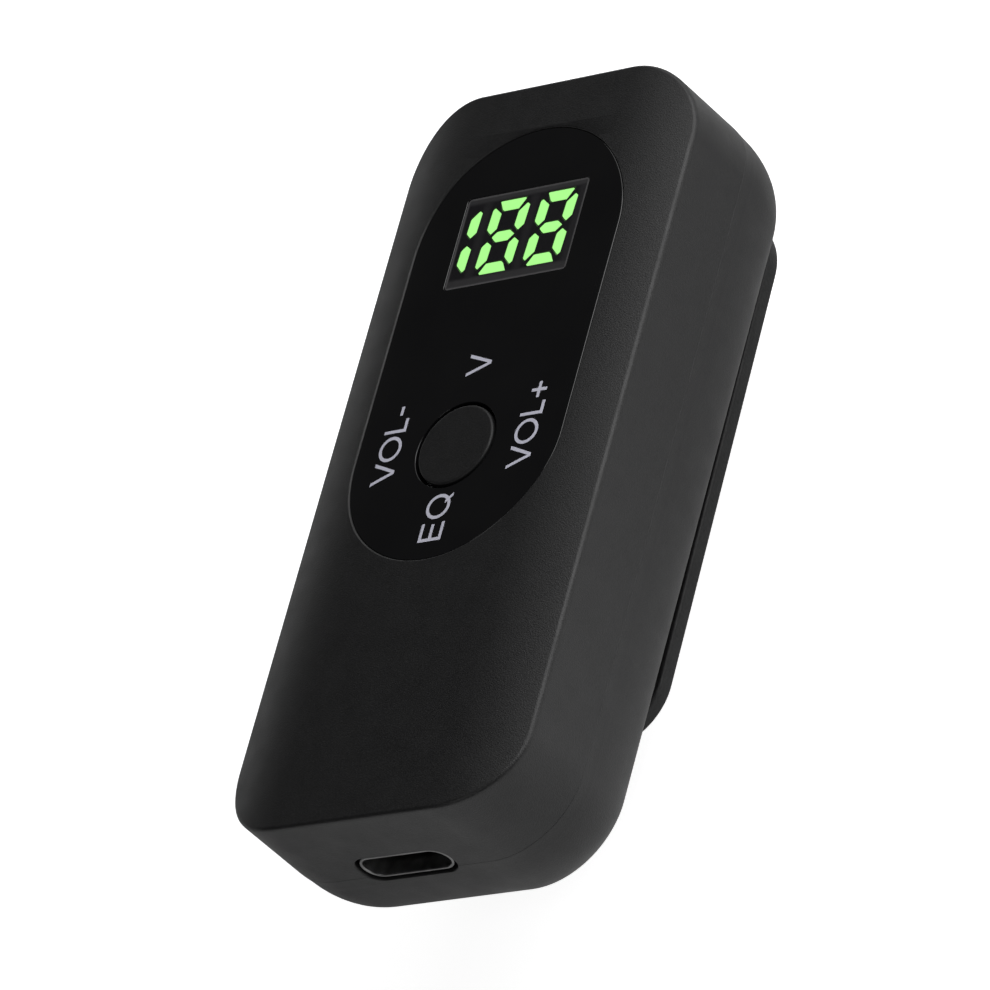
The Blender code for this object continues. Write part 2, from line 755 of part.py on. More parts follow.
def usb_tongue(mat):
    block_front = USB_REAR - USB_BLOCK_LENGTH
    mesh = along_y(prism(usb_outline(USB_SHEET + RUN), block_front, USB_REAR), 0.0, USB_Z)
    tongue = add_object("usb_tongue", mesh, mat)
    blade = along_y(
        prism(rounded_outline(USB_TONGUE_WIDTH, USB_TONGUE_THICKNESS, 0.2, 2),
              block_front - USB_TONGUE_LENGTH, block_front + 0.5), 0.0, USB_Z)
    fuse(tongue, add_object("blade", blade))
    return tongue


def jack_body(name, x, mat):
    centre = (x, (JACK_FRONT + JACK_REAR) / 2, JACK_Z)
    body = add_object(name, block_at(centre, (JACK_WIDTH, JACK_LENGTH, JACK_HEIGHT)), mat)
    bore = disc(JACK_BORE, JACK_FRONT - JACK_BORE_DEPTH, JACK_FRONT + 1.0, (0.0, 0.0), SMALL_SIDES)
    cut(body, add_object("bore", along_y(bore, x, JACK_Z)))
    return body


def jack_bush(name, x, mat):
    outer = CASE_END
    inner = outer - BUSH_LENGTH
    bush = add_object(name, along_y(disc(BUSH_RADIUS, inner, outer, (0.0, 0.0)), x, JACK_Z), mat)
    bore = along_y(disc(JACK_BORE, inner - 1.0, outer + 1.0, (0.0, 0.0), SMALL_SIDES), x, JACK_Z)
    cut(bush, add_object("bore", bore))
    return bush


def battery_cell(mat):
    length = BATTERY_END - BATTERY_START
    middle = (BATTERY_START + BATTERY_END) / 2
    rings = []
    for share, height in ((1.0, 0.0), (0.3, 0.3), (0.0, 1.0), (0.0, -1.0), (0.3, -0.3), (1.0, 0.0)):
        inset = BATTERY_ROUND * share * 0.6
        points = rounded_outline(BATTERY_WIDTH - 2 * inset, length - 2 * inset, BATTERY_ROUND, 4)
        rise = height * BATTERY_ROUND
        z = BATTERY_LOW + rise if len(rings) < 3 else BATTERY_HIGH + rise
        rings.append(flat_ring(shifted(points, 0.0, middle), z))
    return add_object("battery_cell", loft(rings), mat)


def battery_foam(mat):
    width = BATTERY_WIDTH - 2 * FOAM_MARGIN
    length = BATTERY_END - BATTERY_START - 2 * FOAM_MARGIN
    points = shifted(rounded_outline(width, length, 1.0, 3), 0.0, (BATTERY_START + BATTERY_END) / 2)
    return add_object("battery_foam", prism(points, FLOOR + SEAT, FLOOR + SEAT + FOAM_THICKNESS), mat)


def cell_board_centre():
    y = BATTERY_END + SEAT + CELL_BOARD[1] / 2
    return (0.0, y, (BATTERY_LOW + BATTERY_HIGH) / 2)


def cell_board(mat):
    return add_object("cell_board", block_at(cell_board_centre(), CELL_BOARD), mat)


def battery_lead(name, x, mat):
    """A short wire from the cell's own board, round one bend, up to the main board."""
    centre = cell_board_centre()
    start_y = centre[1] + CELL_BOARD[1] / 2 + SEAT
    bend_y = start_y + 0.6
    path = [(x, start_y, centre[2])]
    for y, z in arc((bend_y, centre[2] + LEAD_BEND), LEAD_BEND, -90, 0, 6):
        path.append((x, y, z))
    path.append((x, bend_y + LEAD_BEND, BOARD_UNDER - SEAT))
    return add_object(name, tube(path, LEAD_RADIUS, 10), mat)


# Fasteners and clip

def case_screw_mesh(mat):
    seat = BACK + SCREW_HEAD_DEPTH - RUN
    head = seat - SCREW_HEAD_HEIGHT
    tip = FRONT - SCREW_TIP_DEPTH
    profile = [
        (SCREW_HEAD_RADIUS - 0.2, head),
        (SCREW_HEAD_RADIUS, head + 0.2),
        (SCREW_HEAD_RADIUS, seat),
        (SCREW_RADIUS, seat),
        (SCREW_RADIUS, tip - 0.5),
        (SCREW_RADIUS * 0.5, tip),
    ]
    screw = add_object("screw_pattern", turned(profile, SMALL_SIDES, (0.0, 0.0)), mat)
    reach = SCREW_HEAD_RADIUS * 0.6
    half = SCREW_SLOT / 2
    slot_top = head + SCREW_SLOT_DEPTH
    cross = add_object("cross", block((-reach, -half, head - 1.0), (reach, half, slot_top)))
    fuse(cross, add_object("arm", block((-half, -reach, head - 1.0), (half, reach, slot_top))))
    cut(screw, cross)
    mesh = screw.data
    bpy.data.objects.remove(screw)
    return mesh


def case_screws(mat):
    mesh = case_screw_mesh(mat)
    for number, place in enumerate(SCREW_PLACES, 1):
        screw = bpy.data.objects.new(f"case_screw_{number}", mesh)
        screw.location = (place[0] * MM, place[1] * MM, 0.0)
        bpy.context.scene.collection.objects.link(screw)


def clip_outline(offset):
    """The clip plate's outline: nearly straight sides and well rounded corners."""
    top = CLIP_TOP_Y - offset
    tip = CLIP_TIP_Y + offset
    top_r = CLIP_TOP_RADIUS - offset
    tip_r = CLIP_TIP_RADIUS - offset
    top_x = CLIP_TOP_HALF - offset - top_r
    tip_x = CLIP_TIP_HALF - offset - tip_r
    points = arc((top_x, top - top_r), top_r, 0, 90, CORNER_STEPS)
    points += arc((-top_x, top - top_r), top_r, 90, 180, CORNER_STEPS)
    points += arc((-tip_x, tip + tip_r), tip_r, 180, 270, CORNER_STEPS)
    points += arc((tip_x, tip + tip_r), tip_r, 270, 360, CORNER_STEPS)
    return points


def clip_lever(mat, origin):
    rings = [
        flat_ring(clip_outline(CLIP_EDGE), 0.0),
        flat_ring(clip_outline(0.0), CLIP_EDGE),
        flat_ring(clip_outline(0.0), CLIP_THICKNESS - CLIP_EDGE),
        flat_ring(clip_outline(CLIP_EDGE), CLIP_THICKNESS),
    ]
    clip = add_object("clip_lever", loft(rings), mat, origin)
    root = CLIP_THICKNESS / 2
    jaw_top = BACK - 2 * FIT
    jaw_length = 2 * JAW_HALF_WIDTH
    crest_width = 0.6 * JAW_WIDTH
    foot = shifted(rounded_outline(jaw_length, JAW_WIDTH, 0.45 * JAW_WIDTH, 5), 0.0, JAW_Y)
    crest = shifted(rounded_outline(jaw_length - 0.6, crest_width, 0.45 * crest_width, 5), 0.0, JAW_Y)
    jaw = loft([flat_ring(foot, root), flat_ring(foot, jaw_top - 0.6), flat_ring(crest, jaw_top)])
    fuse(clip, add_object("jaw", jaw))
    for x_range in both_sides(KNUCKLE_X):
        fuse(clip, hinge_tab(x_range, root))
    cut(clip, pin_bore(EAR_X[0]))
    return clip


def clip_pin(mat, origin):
    half = EAR_X[1] - RUN
    mesh = along_x(disc(PIN_RADIUS, -half, half, (0.0, 0.0), SMALL_SIDES), HINGE_Y, HINGE_Z)
    return add_object("clip_pin", mesh, mat, origin)


def spring_path():
    """From one leg on the case back, round the coil, to the other leg on the clip plate."""
    turns = SPRING_TURNS
    width = turns * SPRING_PITCH
    steps = int(turns * SPRING_POINTS_PER_TURN)
    path = [(-width / 2, HINGE_Y + SPRING_LEG, HINGE_Z + SPRING_RADIUS)]
    for i in range(steps + 1):
        angle = math.radians(90.0) + 2 * math.pi * turns * i / steps
        y = HINGE_Y + SPRING_RADIUS * math.cos(angle)
        z = HINGE_Z + SPRING_RADIUS * math.sin(angle)
        path.append((width * (i / steps - 0.5), y, z))
    path.append((width / 2, HINGE_Y + SPRING_LEG, HINGE_Z - SPRING_RADIUS))
    return path


def least_coil_gap(path):
    """The least clear distance between neighbouring turns, measured on the coil's points."""
    points = [Vector(point) for point in path[1:-1]]
    apart = SPRING_POINTS_PER_TURN // 2
    least = min(
        (points[i] - points[j]).length
        for i in range(len(points))
        for j in range(i + apart, len(points))
    )
    return least - SPRING_WIRE


def clip_spring(mat, origin):
    path = spring_path()
    print(f"clip_spring least gap to itself: {least_coil_gap(path):.2f} mm")
    return add_object("clip_spring", tube(path, SPRING_WIRE / 2, 8), mat, origin)


# The assembly

def empty(name, place):
    holder = bpy.data.objects.new(name, None)
    holder.location = Vector(place) * MM
    bpy.context.scene.collection.objects.link(holder)
    return holder


def parent_to(holder, *objects):
    bpy.context.view_layer.update()
    for obj in objects:
        obj.parent = holder
        obj.matrix_parent_inverse = holder.matrix_world.inverted()


def main():
    for obj in list(bpy.data.objects):
        bpy.data.objects.remove(obj)

    shell_plastic = material("shell_plastic", (0.022, 0.022, 0.024), 0.5)
    lens_gloss = material("lens_gloss", (0.004, 0.004, 0.005), 0.12)
    display_grey = material("display_grey", (0.03, 0.03, 0.032), 0.45)
    segment_green = material("segment_green", (0.42, 1.0, 0.28), 0.4)
    cap_plastic = material("cap_plastic", (0.03, 0.03, 0.032), 0.45)
    steel = material("steel", (0.6, 0.6, 0.61), 0.3, 1.0)
    board_green = material("board_green", (0.01, 0.09, 0.04), 0.4)
    chip_black = material("chip_black", (0.02, 0.02, 0.02), 0.5)
    cell_silver = material("cell_silver", (0.55, 0.56, 0.58), 0.35, 0.6)
    foam_grey = material("foam_grey", (0.1, 0.1, 0.1), 0.9)
    lead_red = material("lead_red", (0.5, 0.02, 0.02), 0.4)
    lead_black = material("lead_black", (0.02, 0.02, 0.02), 0.4)
    tantalum = material("tantalum", (0.55, 0.36, 0.08), 0.45)

    front_shell(shell_plastic)
    rear_shell(shell_plastic)
    lens_panel(lens_gloss)

    display_housing(display_grey)
    display_guide(segment_green)
    display_board(board_green)

    pivot = (*BUTTON_CENTRE, PIVOT_Z)
    nav_base(chip_black)
    nav_cover(steel)
    moving = [
        nav_rocker(chip_black, pivot),
        nav_carrier(chip_black, pivot),
        nav_stem(chip_black, pivot),
        button_cap(cap_plastic, pivot),
    ]
    parent_to(empty("button_pivot", pivot), *moving)

    main_board(board_green)
    control_y = BUTTON_CENTRE[1] + 8.5
    component("control_chip", (6.2, control_y), (5.0, 5.0, 0.9), 1, chip_black)
    component("clock_crystal", (6.2, control_y - 4.5), (3.2, 1.5, 0.8), 1, steel)
    audio_y = JACK_REAR - 11.3
    component("amp_chip", (-5.0, audio_y), (5.0, 5.0, 1.0), -1, chip_black)
    component("output_capacitor_left", (2.2, audio_y), (3.5, 6.0, 1.5), -1, tantalum)
    component("output_capacitor_right", (6.9, audio_y), (3.5, 6.0, 1.5), -1, tantalum)
    power_y = USB_REAR + 10.7
    component("charger_chip", (-5.5, power_y), (3.0, 3.0, 1.0), -1, chip_black)
    component("power_inductor", (-0.5, power_y), (4.0, 4.0, 1.6), -1, foam_grey)

    usb_shell(steel)
    usb_tongue(chip_black)
    for name, x in (("headphone_jack", -JACK_X), ("line_in_jack", JACK_X)):
        jack_body(name, x, chip_black)
        jack_bush(name + "_bush", x, steel)

    battery_cell(cell_silver)
    battery_foam(foam_grey)
    cell_board(board_green)
    battery_lead("battery_lead_positive", LEAD_X, lead_red)
    battery_lead("battery_lead_negative", -LEAD_X, lead_black)

    case_screws(steel)

    hinge = (0.0, HINGE_Y, HINGE_Z)
    clip_pin(steel, hinge)
    clip_spring(steel, hinge)
    parent_to(empty("clip_hinge", hinge), clip_lever(shell_plastic, hinge))


main()
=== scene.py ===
# Looks for the clip-on headphone amplifier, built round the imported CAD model.
# Lengths are in millimetres in the CAD frame, and meshes are scaled to metres as they are made.
import math

import bmesh
import bpy
from mathutils import Matrix, Vector


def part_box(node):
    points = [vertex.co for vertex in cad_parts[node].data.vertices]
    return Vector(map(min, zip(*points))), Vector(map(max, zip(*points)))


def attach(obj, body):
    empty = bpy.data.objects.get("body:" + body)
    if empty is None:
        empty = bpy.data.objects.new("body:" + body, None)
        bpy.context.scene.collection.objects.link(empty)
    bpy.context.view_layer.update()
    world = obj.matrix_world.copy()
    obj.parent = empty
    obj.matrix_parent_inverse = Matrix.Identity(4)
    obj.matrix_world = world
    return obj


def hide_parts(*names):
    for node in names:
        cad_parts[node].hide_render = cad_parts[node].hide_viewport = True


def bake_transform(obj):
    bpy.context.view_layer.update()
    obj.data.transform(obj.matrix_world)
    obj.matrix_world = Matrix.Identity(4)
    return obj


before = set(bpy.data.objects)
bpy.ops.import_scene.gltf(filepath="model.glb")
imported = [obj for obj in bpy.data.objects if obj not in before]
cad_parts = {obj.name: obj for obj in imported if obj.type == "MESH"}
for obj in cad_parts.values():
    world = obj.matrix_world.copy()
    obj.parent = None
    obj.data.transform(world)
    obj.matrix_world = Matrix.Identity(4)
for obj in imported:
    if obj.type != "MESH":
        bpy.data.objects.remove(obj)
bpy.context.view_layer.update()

MM = 0.001

# Case sizes, as in the CAD model
WIDTH = 30.7
LENGTH = 70.8
PLAN_RADIUS = 7.2
BACK = 4.33
FRONT = 20.13
PARTING = 11.63
PARTING_GAP = 0.01
DRAFT = 0.08
CROWN_FLAT = 7.3
CROWN_DROP = 1.7
CROWN_SPAN = WIDTH / 2 - CROWN_FLAT
CROWN_RADIUS = (CROWN_SPAN ** 2 + CROWN_DROP ** 2) / (2 * CROWN_DROP)
REAR_ROUND_HEIGHT = 6.0
REAR_ROUND_INSET = 2.15
WALL = 1.5
CEILING = 17.73
CEILING_CHAMFER = 2.0
FLOOR = BACK + WALL
LIP_HEIGHT = 1.2
LIP = 0.75
FIT = 0.15
SEAT = 0.2
RUN = 0.1
BOARD_TOP = 15.33
BOARD_UNDER = 14.33
END = LENGTH / 2

# Lens, display and button sizes
LENS_WIDTH = 21.5
LENS_LENGTH = 41.5
LENS_Y = 9.7
LENS_DEPTH = 1.3
LENS_SINK = 0.12
LENS_TOP = FRONT - LENS_SINK
WINDOW = (13.1, 9.2)
WINDOW_CORNER = 0.4
WINDOW_FILL = 0.08
DISPLAY_CENTRE = (0.15, 20.2)
DISPLAY_FACE_Z = FRONT - 0.2
DISPLAY_FACE_DEPTH = 0.8
DISPLAY_INNER_GAP = 0.6
GUIDE_PLATE = 0.8
DIGIT = (3.85, 7.1)
DIGIT_PITCH = 5.08
LAST_DIGIT = (3.63, 20.33)
BAR = 0.94
BAR_GAP = 0.39
BAR_CORNER = 0.14
BAR_POINT = 0.46
SIDE_BAR = (0.57, 0.74)
END_BAR = (0.56, 0.54)
MIDDLE_BAR_REACH = 0.15
SLANT = math.tan(math.radians(2.6))
BUTTON = (0.0, -0.3)
CAP_RADIUS = 3.78
CAP_HOLE = 4.08
CAP_TOP = FRONT - 0.04
CAP_UNDER = FRONT - 1.65
CAP_BOSS = (1.4, 0.45)
CAP_SOCKET = 0.8
STEM_TOP_Z = CAP_UNDER + 0.75

# Sockets, screws and clip
USB = (9.2, 3.1)
USB_Z = 12.53
USB_FRONT = 0.12 - END
USB_REAR = USB_FRONT + 7.3
USB_SHEET = 0.3
USB_GAP = 0.2
TONGUE = (6.7, 0.7, 4.4)
TONGUE_BLOCK = 1.6
JACK_X = 6.0
JACK_Z = 11.53
BUSH_RADIUS = 2.5
BUSH_LENGTH = 1.9
JACK_BORE = 1.8
SCREWS = ((0.0, 27.0), (-9.8, -27.6), (9.8, -27.6))
SCREW_RADIUS = 0.75
SCREW_HEAD = 1.45
SCREW_SEAT_Z = BACK + 4.0
SCREW_TIP_Z = FRONT - 2.3
BOSS_RADIUS = 2.4
POST_RADIUS = 1.8
CLIP_THICKNESS = 1.5
CLIP_TOP_Y = 33.0
CLIP_TIP_Y = -18.6
CLIP_TOP = (11.05, 6.5)
CLIP_TIP = (11.5, 5.4)
CLIP_EDGE = 0.3
HINGE_Y = 19.0
HINGE_Z = 2.915
KNUCKLE_RADIUS = 1.15
KNUCKLE_X = (2.6, 5.0)
EAR_X = (5.3, 7.7)
PIN_RADIUS = 0.5
JAW_Y = -15.6
JAW = (16.0, 2.2)
SPRING_WIRE = 0.2
SPRING_RADIUS = 0.9
SPRING_WIDTH = 3.15
SPRING_TURNS = 3.5
SPRING_LEG = 6.0

# Small edges that only the looks have
CREASE = 0.32
SHELL_EDGE = 0.012
LENS_EDGE = 0.08
LENS_FILL = 0.12
POCKET_EDGE = 0.2
HOLE_EDGE = 0.06
MOUTH_EDGE = 0.18
CAP_EDGE = 0.22
SUPPORT = 0.12
ON_CROWN = 0.003
ON_WALL = 0.005
CORNER_STEPS = 24
ROUND_SIDES = 96


# Outlines in the plane

def arc(centre, radius, start, end, steps):
    angles = [math.radians(start + (end - start) * i / steps) for i in range(steps + 1)]
    return [(centre[0] + radius * math.cos(a), centre[1] + radius * math.sin(a)) for a in angles]


def rounded(width, length, radius, steps=CORNER_STEPS):
    """A rounded rectangle about the origin, counterclockwise."""
    x = width / 2 - radius
    y = length / 2 - radius
    points = arc((x, y), radius, 0, 90, steps)
    points += arc((-x, y), radius, 90, 180, steps)
    points += arc((-x, -y), radius, 180, 270, steps)
    return points + arc((x, -y), radius, 270, 360, steps)


def shifted(points, x, y):
    return [(px + x, py + y) for px, py in points]


def circle(radius, sides=ROUND_SIDES):
    return arc((0.0, 0.0), radius, 0, 360 * (sides - 1) / sides, sides - 1)


def case_outline(offset):
    return rounded(WIDTH - 2 * offset, LENGTH - 2 * offset, max(PLAN_RADIUS - offset, 0.8))


def rear_outline(inset, offset):
    """The rear shell's corners keep their radius as its back rounds in."""
    drawn_in = 2 * (inset + offset)
    return rounded(WIDTH - drawn_in, LENGTH - drawn_in, PLAN_RADIUS - offset)


def lens_outline(offset):
    width = LENS_WIDTH - 2 * offset
    outline = rounded(width, LENS_LENGTH - 2 * offset, width / 2 - 0.01, 2 * CORNER_STEPS)
    return shifted(outline, 0.0, LENS_Y)


def window_outline(offset):
    radius = max(WINDOW_CORNER - offset, 0.1)
    outline = rounded(WINDOW[0] - 2 * offset, WINDOW[1] - 2 * offset, radius, 6)
    return shifted(outline, *DISPLAY_CENTRE)


def usb_outline(offset):
    height = USB[1] - 2 * offset
    return rounded(USB[0] - 2 * offset, height, height / 2 - 0.01, 12)


def softened(points, radius, steps=4):
    """A convex outline with its corners rounded off."""
    result = []
    count = len(points)
    for i in range(count):
        here = Vector(points[i])
        before = Vector(points[i - 1]) - here
        after = Vector(points[(i + 1) % count]) - here
        reach = min(radius, 0.45 * before.length, 0.45 * after.length)
        start = here + before.normalized() * reach
        end = here + after.normalized() * reach
        for k in range(steps + 1):
            t = k / steps
            spot = start * (1 - t) ** 2 + here * (2 * t * (1 - t)) + end * t ** 2
            result.append((spot.x, spot.y))
    return result


def quarter(radius, steps):
    """(inset, sink) pairs round a convex edge, from the top face to the side."""
    angles = [math.radians(90.0 * i / steps) for i in range(steps + 1)]
    return [(radius * (1 - math.sin(a)), radius * (1 - math.cos(a))) for a in angles]


# Meshes

def loft(rings, ring_shaped=False):
    """Skin through rings of equal counts, capped at both ends or closed on itself."""
    mesh = bmesh.new()
    loops = [[mesh.verts.new(point) for point in ring] for ring in rings]
    count = len(loops[0])
    pairs = list(zip(loops, loops[1:]))
    if ring_shaped:
        pairs.append((loops[-1], loops[0]))
    for lower, upper in pairs:
        for i in range(count):
            j = (i + 1) % count
            mesh.faces.new((lower[i], lower[j], upper[j], upper[i]))
    if not ring_shaped:
        mesh.faces.new(list(reversed(loops[0])))
        mesh.faces.new(loops[-1])
    return mesh


def flat(points, z):
    return [(x, y, z) for x, y in points]


def crown_run(x):
    return max(abs(x) - CROWN_FLAT, 0.0)


def crown_drop(x):
    """How far the crowned front falls below its flat middle."""
    return CROWN_RADIUS - math.sqrt(max(CROWN_RADIUS ** 2 - crown_run(x) ** 2, 0.0))


def crowned(points, sink=0.0):
    return [(x, y, FRONT - crown_drop(x) - sink) for x, y in points]


def prism(points, low, high):
    return loft([flat(points, low), flat(points, high)])


def turned(profile, centre, sides=ROUND_SIDES):
    return loft([flat(shifted(circle(radius, sides), *centre), z) for radius, z in profile])


def moved(mesh, matrix):
    bmesh.ops.transform(mesh, verts=mesh.verts, matrix=matrix)
    return mesh


def along_x(mesh, y, z):
    return moved(mesh, Matrix.Translation((0, y, z)) @ Matrix.Rotation(math.radians(90.0), 4, "Y"))


def along_y(mesh, x, z):
    return moved(mesh, Matrix.Translation((x, 0, z)) @ Matrix.Rotation(math.radians(-90.0), 4, "X"))


def tube(path, radius, sides):
    points = [Vector(point) for point in path]
    rings = []
    side = None
    for i, point in enumerate(points):
        ahead = (points[min(i + 1, len(points) - 1)] - points[max(i - 1, 0)]).normalized()
        if side is None:
            side = ahead.orthogonal().normalized()
        side = (side - ahead * side.dot(ahead)).normalized()
        other = ahead.cross(side)
        rings.append([point + radius * (side * c + other * s) for c, s in circle(1.0, sides)])
    return loft(rings)


def add_object(name, mesh_builder):
    bmesh.ops.recalc_face_normals(mesh_builder, faces=mesh_builder.faces)
    bmesh.ops.scale(mesh_builder, verts=mesh_builder.verts, vec=(MM, MM, MM))
    mesh = bpy.data.meshes.new(name)
    mesh_builder.to_mesh(mesh)
    mesh_builder.free()
    obj = bpy.data.objects.new(name, mesh)
    bpy.context.scene.collection.objects.link(obj)
    return obj


def combine(obj, operation, *builders):
    for builder in builders:
        tool = add_object("tool", builder)
        modifier = obj.modifiers.new("combine", "BOOLEAN")
        modifier.operation = operation
        modifier.solver = "EXACT"
        modifier.object = tool
        bpy.context.view_layer.update()
        with bpy.context.temp_override(object=obj, active_object=obj, selected_objects=[obj]):
            bpy.ops.object.modifier_apply(modifier=modifier.name)
        bpy.data.objects.remove(tool)


def cut(obj, *builders):
    combine(obj, "DIFFERENCE", *builders)


def fuse(obj, *builders):
    combine(obj, "UNION", *builders)


def crown_shading(obj, sink):
    """True normals on the crowned face, so that cuts leave no mark on its gloss."""
    mesh = obj.data
    normals = [corner.vector.copy() for corner in mesh.corner_normals]
    places = [vertex.co / MM for vertex in mesh.vertices]
    on_crown = [abs(place.z - FRONT + crown_drop(place.x) + sink) < ON_CROWN for place in places]
    for face in mesh.polygons:
        if all(on_crown[i] for i in face.vertices):
            for corner in face.loop_indices:
                x = places[mesh.loops[corner].vertex_index].x
                lean = math.copysign(crown_run(x) / CROWN_RADIUS, x)
                normals[corner] = Vector((lean, 0.0, math.sqrt(1 - lean ** 2)))
    mesh.normals_split_custom_set(normals)


def wall_shading(obj):
    """True normals on the case's upright walls, so that cuts leave no mark on them either."""
    mesh = obj.data
    normals = [corner.vector.copy() for corner in mesh.corner_normals]
    outward = []
    for vertex in mesh.vertices:
        x, y = vertex.co.x / MM, vertex.co.y / MM
        past_x = max(abs(x) - WIDTH / 2 + PLAN_RADIUS, 0.0)
        past_y = max(abs(y) - LENGTH / 2 + PLAN_RADIUS, 0.0)
        outward.append(Vector((math.copysign(past_x, x), math.copysign(past_y, y), 0.0)))
    on_wall = [way.length > PLAN_RADIUS - ON_WALL for way in outward]
    wall_foot = BACK + REAR_ROUND_HEIGHT
    steepest = 0.075
    for face in mesh.polygons:
        if abs(face.normal.z) < steepest and all(on_wall[i] for i in face.vertices):
            for corner in face.loop_indices:
                vertex = mesh.loops[corner].vertex_index
                rise = (mesh.vertices[vertex].co.z / MM - wall_foot) / (PARTING - wall_foot)
                normal = outward[vertex].normalized()
                normal.z = face.normal.z * min(max(rise, 0.0), 1.0)
                normals[corner] = normal.normalized()
    mesh.normals_split_custom_set(normals)


def finish_piece(obj, mat, body, nodes=(), sharp=32.0):
    """Smooth shading, a material, the body it moves with and the CAD nodes it stands for."""
    mesh = obj.data
    mesh.materials.clear()
    mesh.materials.append(mat)
    mesh.shade_smooth()
    mesh.set_sharp_from_angle(angle=math.radians(sharp))
    if body:
        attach(obj, body)
    if nodes:
        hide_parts(*nodes)
    return obj


# Materials

class Finish:
    """A Principled material whose colour, roughness and bump come from noise in object space."""

    def __init__(self, name, roughness=0.5, metallic=0.0):
        self.mat = bpy.data.materials.new(name)
        self.mat.use_nodes = True
        self.tree = self.mat.node_tree
        self.shader = self.tree.nodes["Principled BSDF"]
        self.shader.inputs["Roughness"].default_value = roughness
        self.shader.inputs["Metallic"].default_value = metallic
        self.place = self.tree.nodes.new("ShaderNodeTexCoord").outputs["Object"]

    def node(self, kind, **values):
        node = self.tree.nodes.new(kind)
        for key, value in values.items():
            setattr(node, key, value)
        return node

    def link(self, output, target):
        self.tree.links.new(output, target)

    def noise(self, size, detail=3.0):
        """Noise whose features are about this many millimetres across."""
        node = self.node("ShaderNodeTexNoise")
        node.inputs["Scale"].default_value = 1 / (size * MM)
        node.inputs["Detail"].default_value = detail
        self.link(self.place, node.inputs["Vector"])
        return node.outputs["Fac"]

    def ranged(self, value, low, high, start=0.3, end=0.7):
        node = self.node("ShaderNodeMapRange")
        for key, number in (("From Min", start), ("From Max", end), ("To Min", low), ("To Max", high)):
            node.inputs[key].default_value = number
        self.link(value, node.inputs["Value"])
        return node.outputs["Result"]

    def mixed(self, value, first, second):
        node = self.node("ShaderNodeMix", data_type="RGBA")
        self.link(value, node.inputs["Factor"])
        for socket, colour in (("A_Color", first), ("B_Color", second)):
            target = next(s for s in node.inputs if s.identifier == socket)
            if isinstance(colour, tuple):
                target.default_value = (*colour, 1.0)
            else:
                self.link(colour, target)
        return next(s for s in node.outputs if s.identifier == "Result_Color")

    def colour(self, first, second, size):
        value = self.ranged(self.noise(size), 0.0, 1.0)
        self.link(self.mixed(value, first, second), self.shader.inputs["Base Color"])
        return self

    def rough(self, low, high, size):
        self.link(self.ranged(self.noise(size), low, high), self.shader.inputs["Roughness"])
        return self

    def bump(self, size, height, detail=2.0):
        """Surface relief of this height in millimetres."""
        node = self.node("ShaderNodeBump")
        node.inputs["Strength"].default_value = 1.0
        node.inputs["Distance"].default_value = height * MM
        self.link(self.noise(size, detail), node.inputs["Height"])
        self.link(node.outputs["Normal"], self.shader.inputs["Normal"])
        return self

    def glow(self, colour, strength):
        self.shader.inputs["Emission Color"].default_value = (*colour, 1.0)
        self.shader.inputs["Emission Strength"].default_value = strength
        return self


def grey(level, blue=0.0):
    return (level, level, level + blue)


def moulded(name, dark, light, low, high, grain, height, gloss=0.5):
    """Plastic: two colours, a roughness range, the grain's size and height, and the gloss."""
    finish = Finish(name).colour(dark, light, grain).rough(low, high, 2.5).bump(grain, height)
    finish.shader.inputs["Specular IOR Level"].default_value = gloss
    return finish.mat


def metal(name, dark, light, low, high):
    """Metal: two colours and a roughness range."""
    finish = Finish(name, metallic=1.0).colour(dark, light, 1.2)
    return finish.rough(low, high, 0.4).bump(0.15, 0.002).mat


def display_finish():
    """Dark display face with greyer bands between the digits and along its edges."""
    finish = Finish("display_face", roughness=0.42)
    finish.shader.inputs["Specular IOR Level"].default_value = 0.25
    parts = finish.node("ShaderNodeSeparateXYZ")
    finish.link(finish.place, parts.inputs["Vector"])

    def worked(operation, first, second=None):
        node = finish.node("ShaderNodeMath", operation=operation)
        for socket, value in zip(node.inputs, (first, second)):
            if isinstance(value, (int, float)):
                socket.default_value = value
            elif value is not None:
                finish.link(value, socket)
        return node.outputs["Value"]

    def distance(axis, centre):
        return worked("ABSOLUTE", worked("SUBTRACT", parts.outputs[axis], centre * MM))

    column_grey = 0.08
    row_grey = 0.22
    edge_grey = 0.65
    gap_x = (LAST_DIGIT[0] - DIGIT_PITCH / 2) * MM
    past_gap = worked("SUBTRACT", parts.outputs["X"], gap_x)
    wave = worked("COSINE", worked("MULTIPLY", past_gap, 2 * math.pi / (DIGIT_PITCH * MM)))
    columns = finish.ranged(wave, 0.0, column_grey, 0.75, 1.0)
    rows = finish.ranged(distance("Y", LAST_DIGIT[1]), 0.0, row_grey, 3.6 * MM, 3.9 * MM)
    edges = []
    for axis, centre, size in zip("XY", DISPLAY_CENTRE, WINDOW):
        start = (size / 2 - 0.34) * MM
        end = (size / 2 - 0.24) * MM
        edges.append(finish.ranged(distance(axis, centre), 0.0, edge_grey, start, end))
    mask = worked("MAXIMUM", worked("MAXIMUM", columns, rows), worked("MAXIMUM", *edges))
    film = finish.mixed(finish.noise(0.3), (0.006, 0.006, 0.007), (0.009, 0.008, 0.010))
    bare = finish.mixed(finish.noise(0.5), (0.11, 0.108, 0.11), (0.14, 0.138, 0.14))
    finish.link(finish.mixed(mask, film, bare), finish.shader.inputs["Base Color"])
    return finish.bump(0.25, 0.004).mat


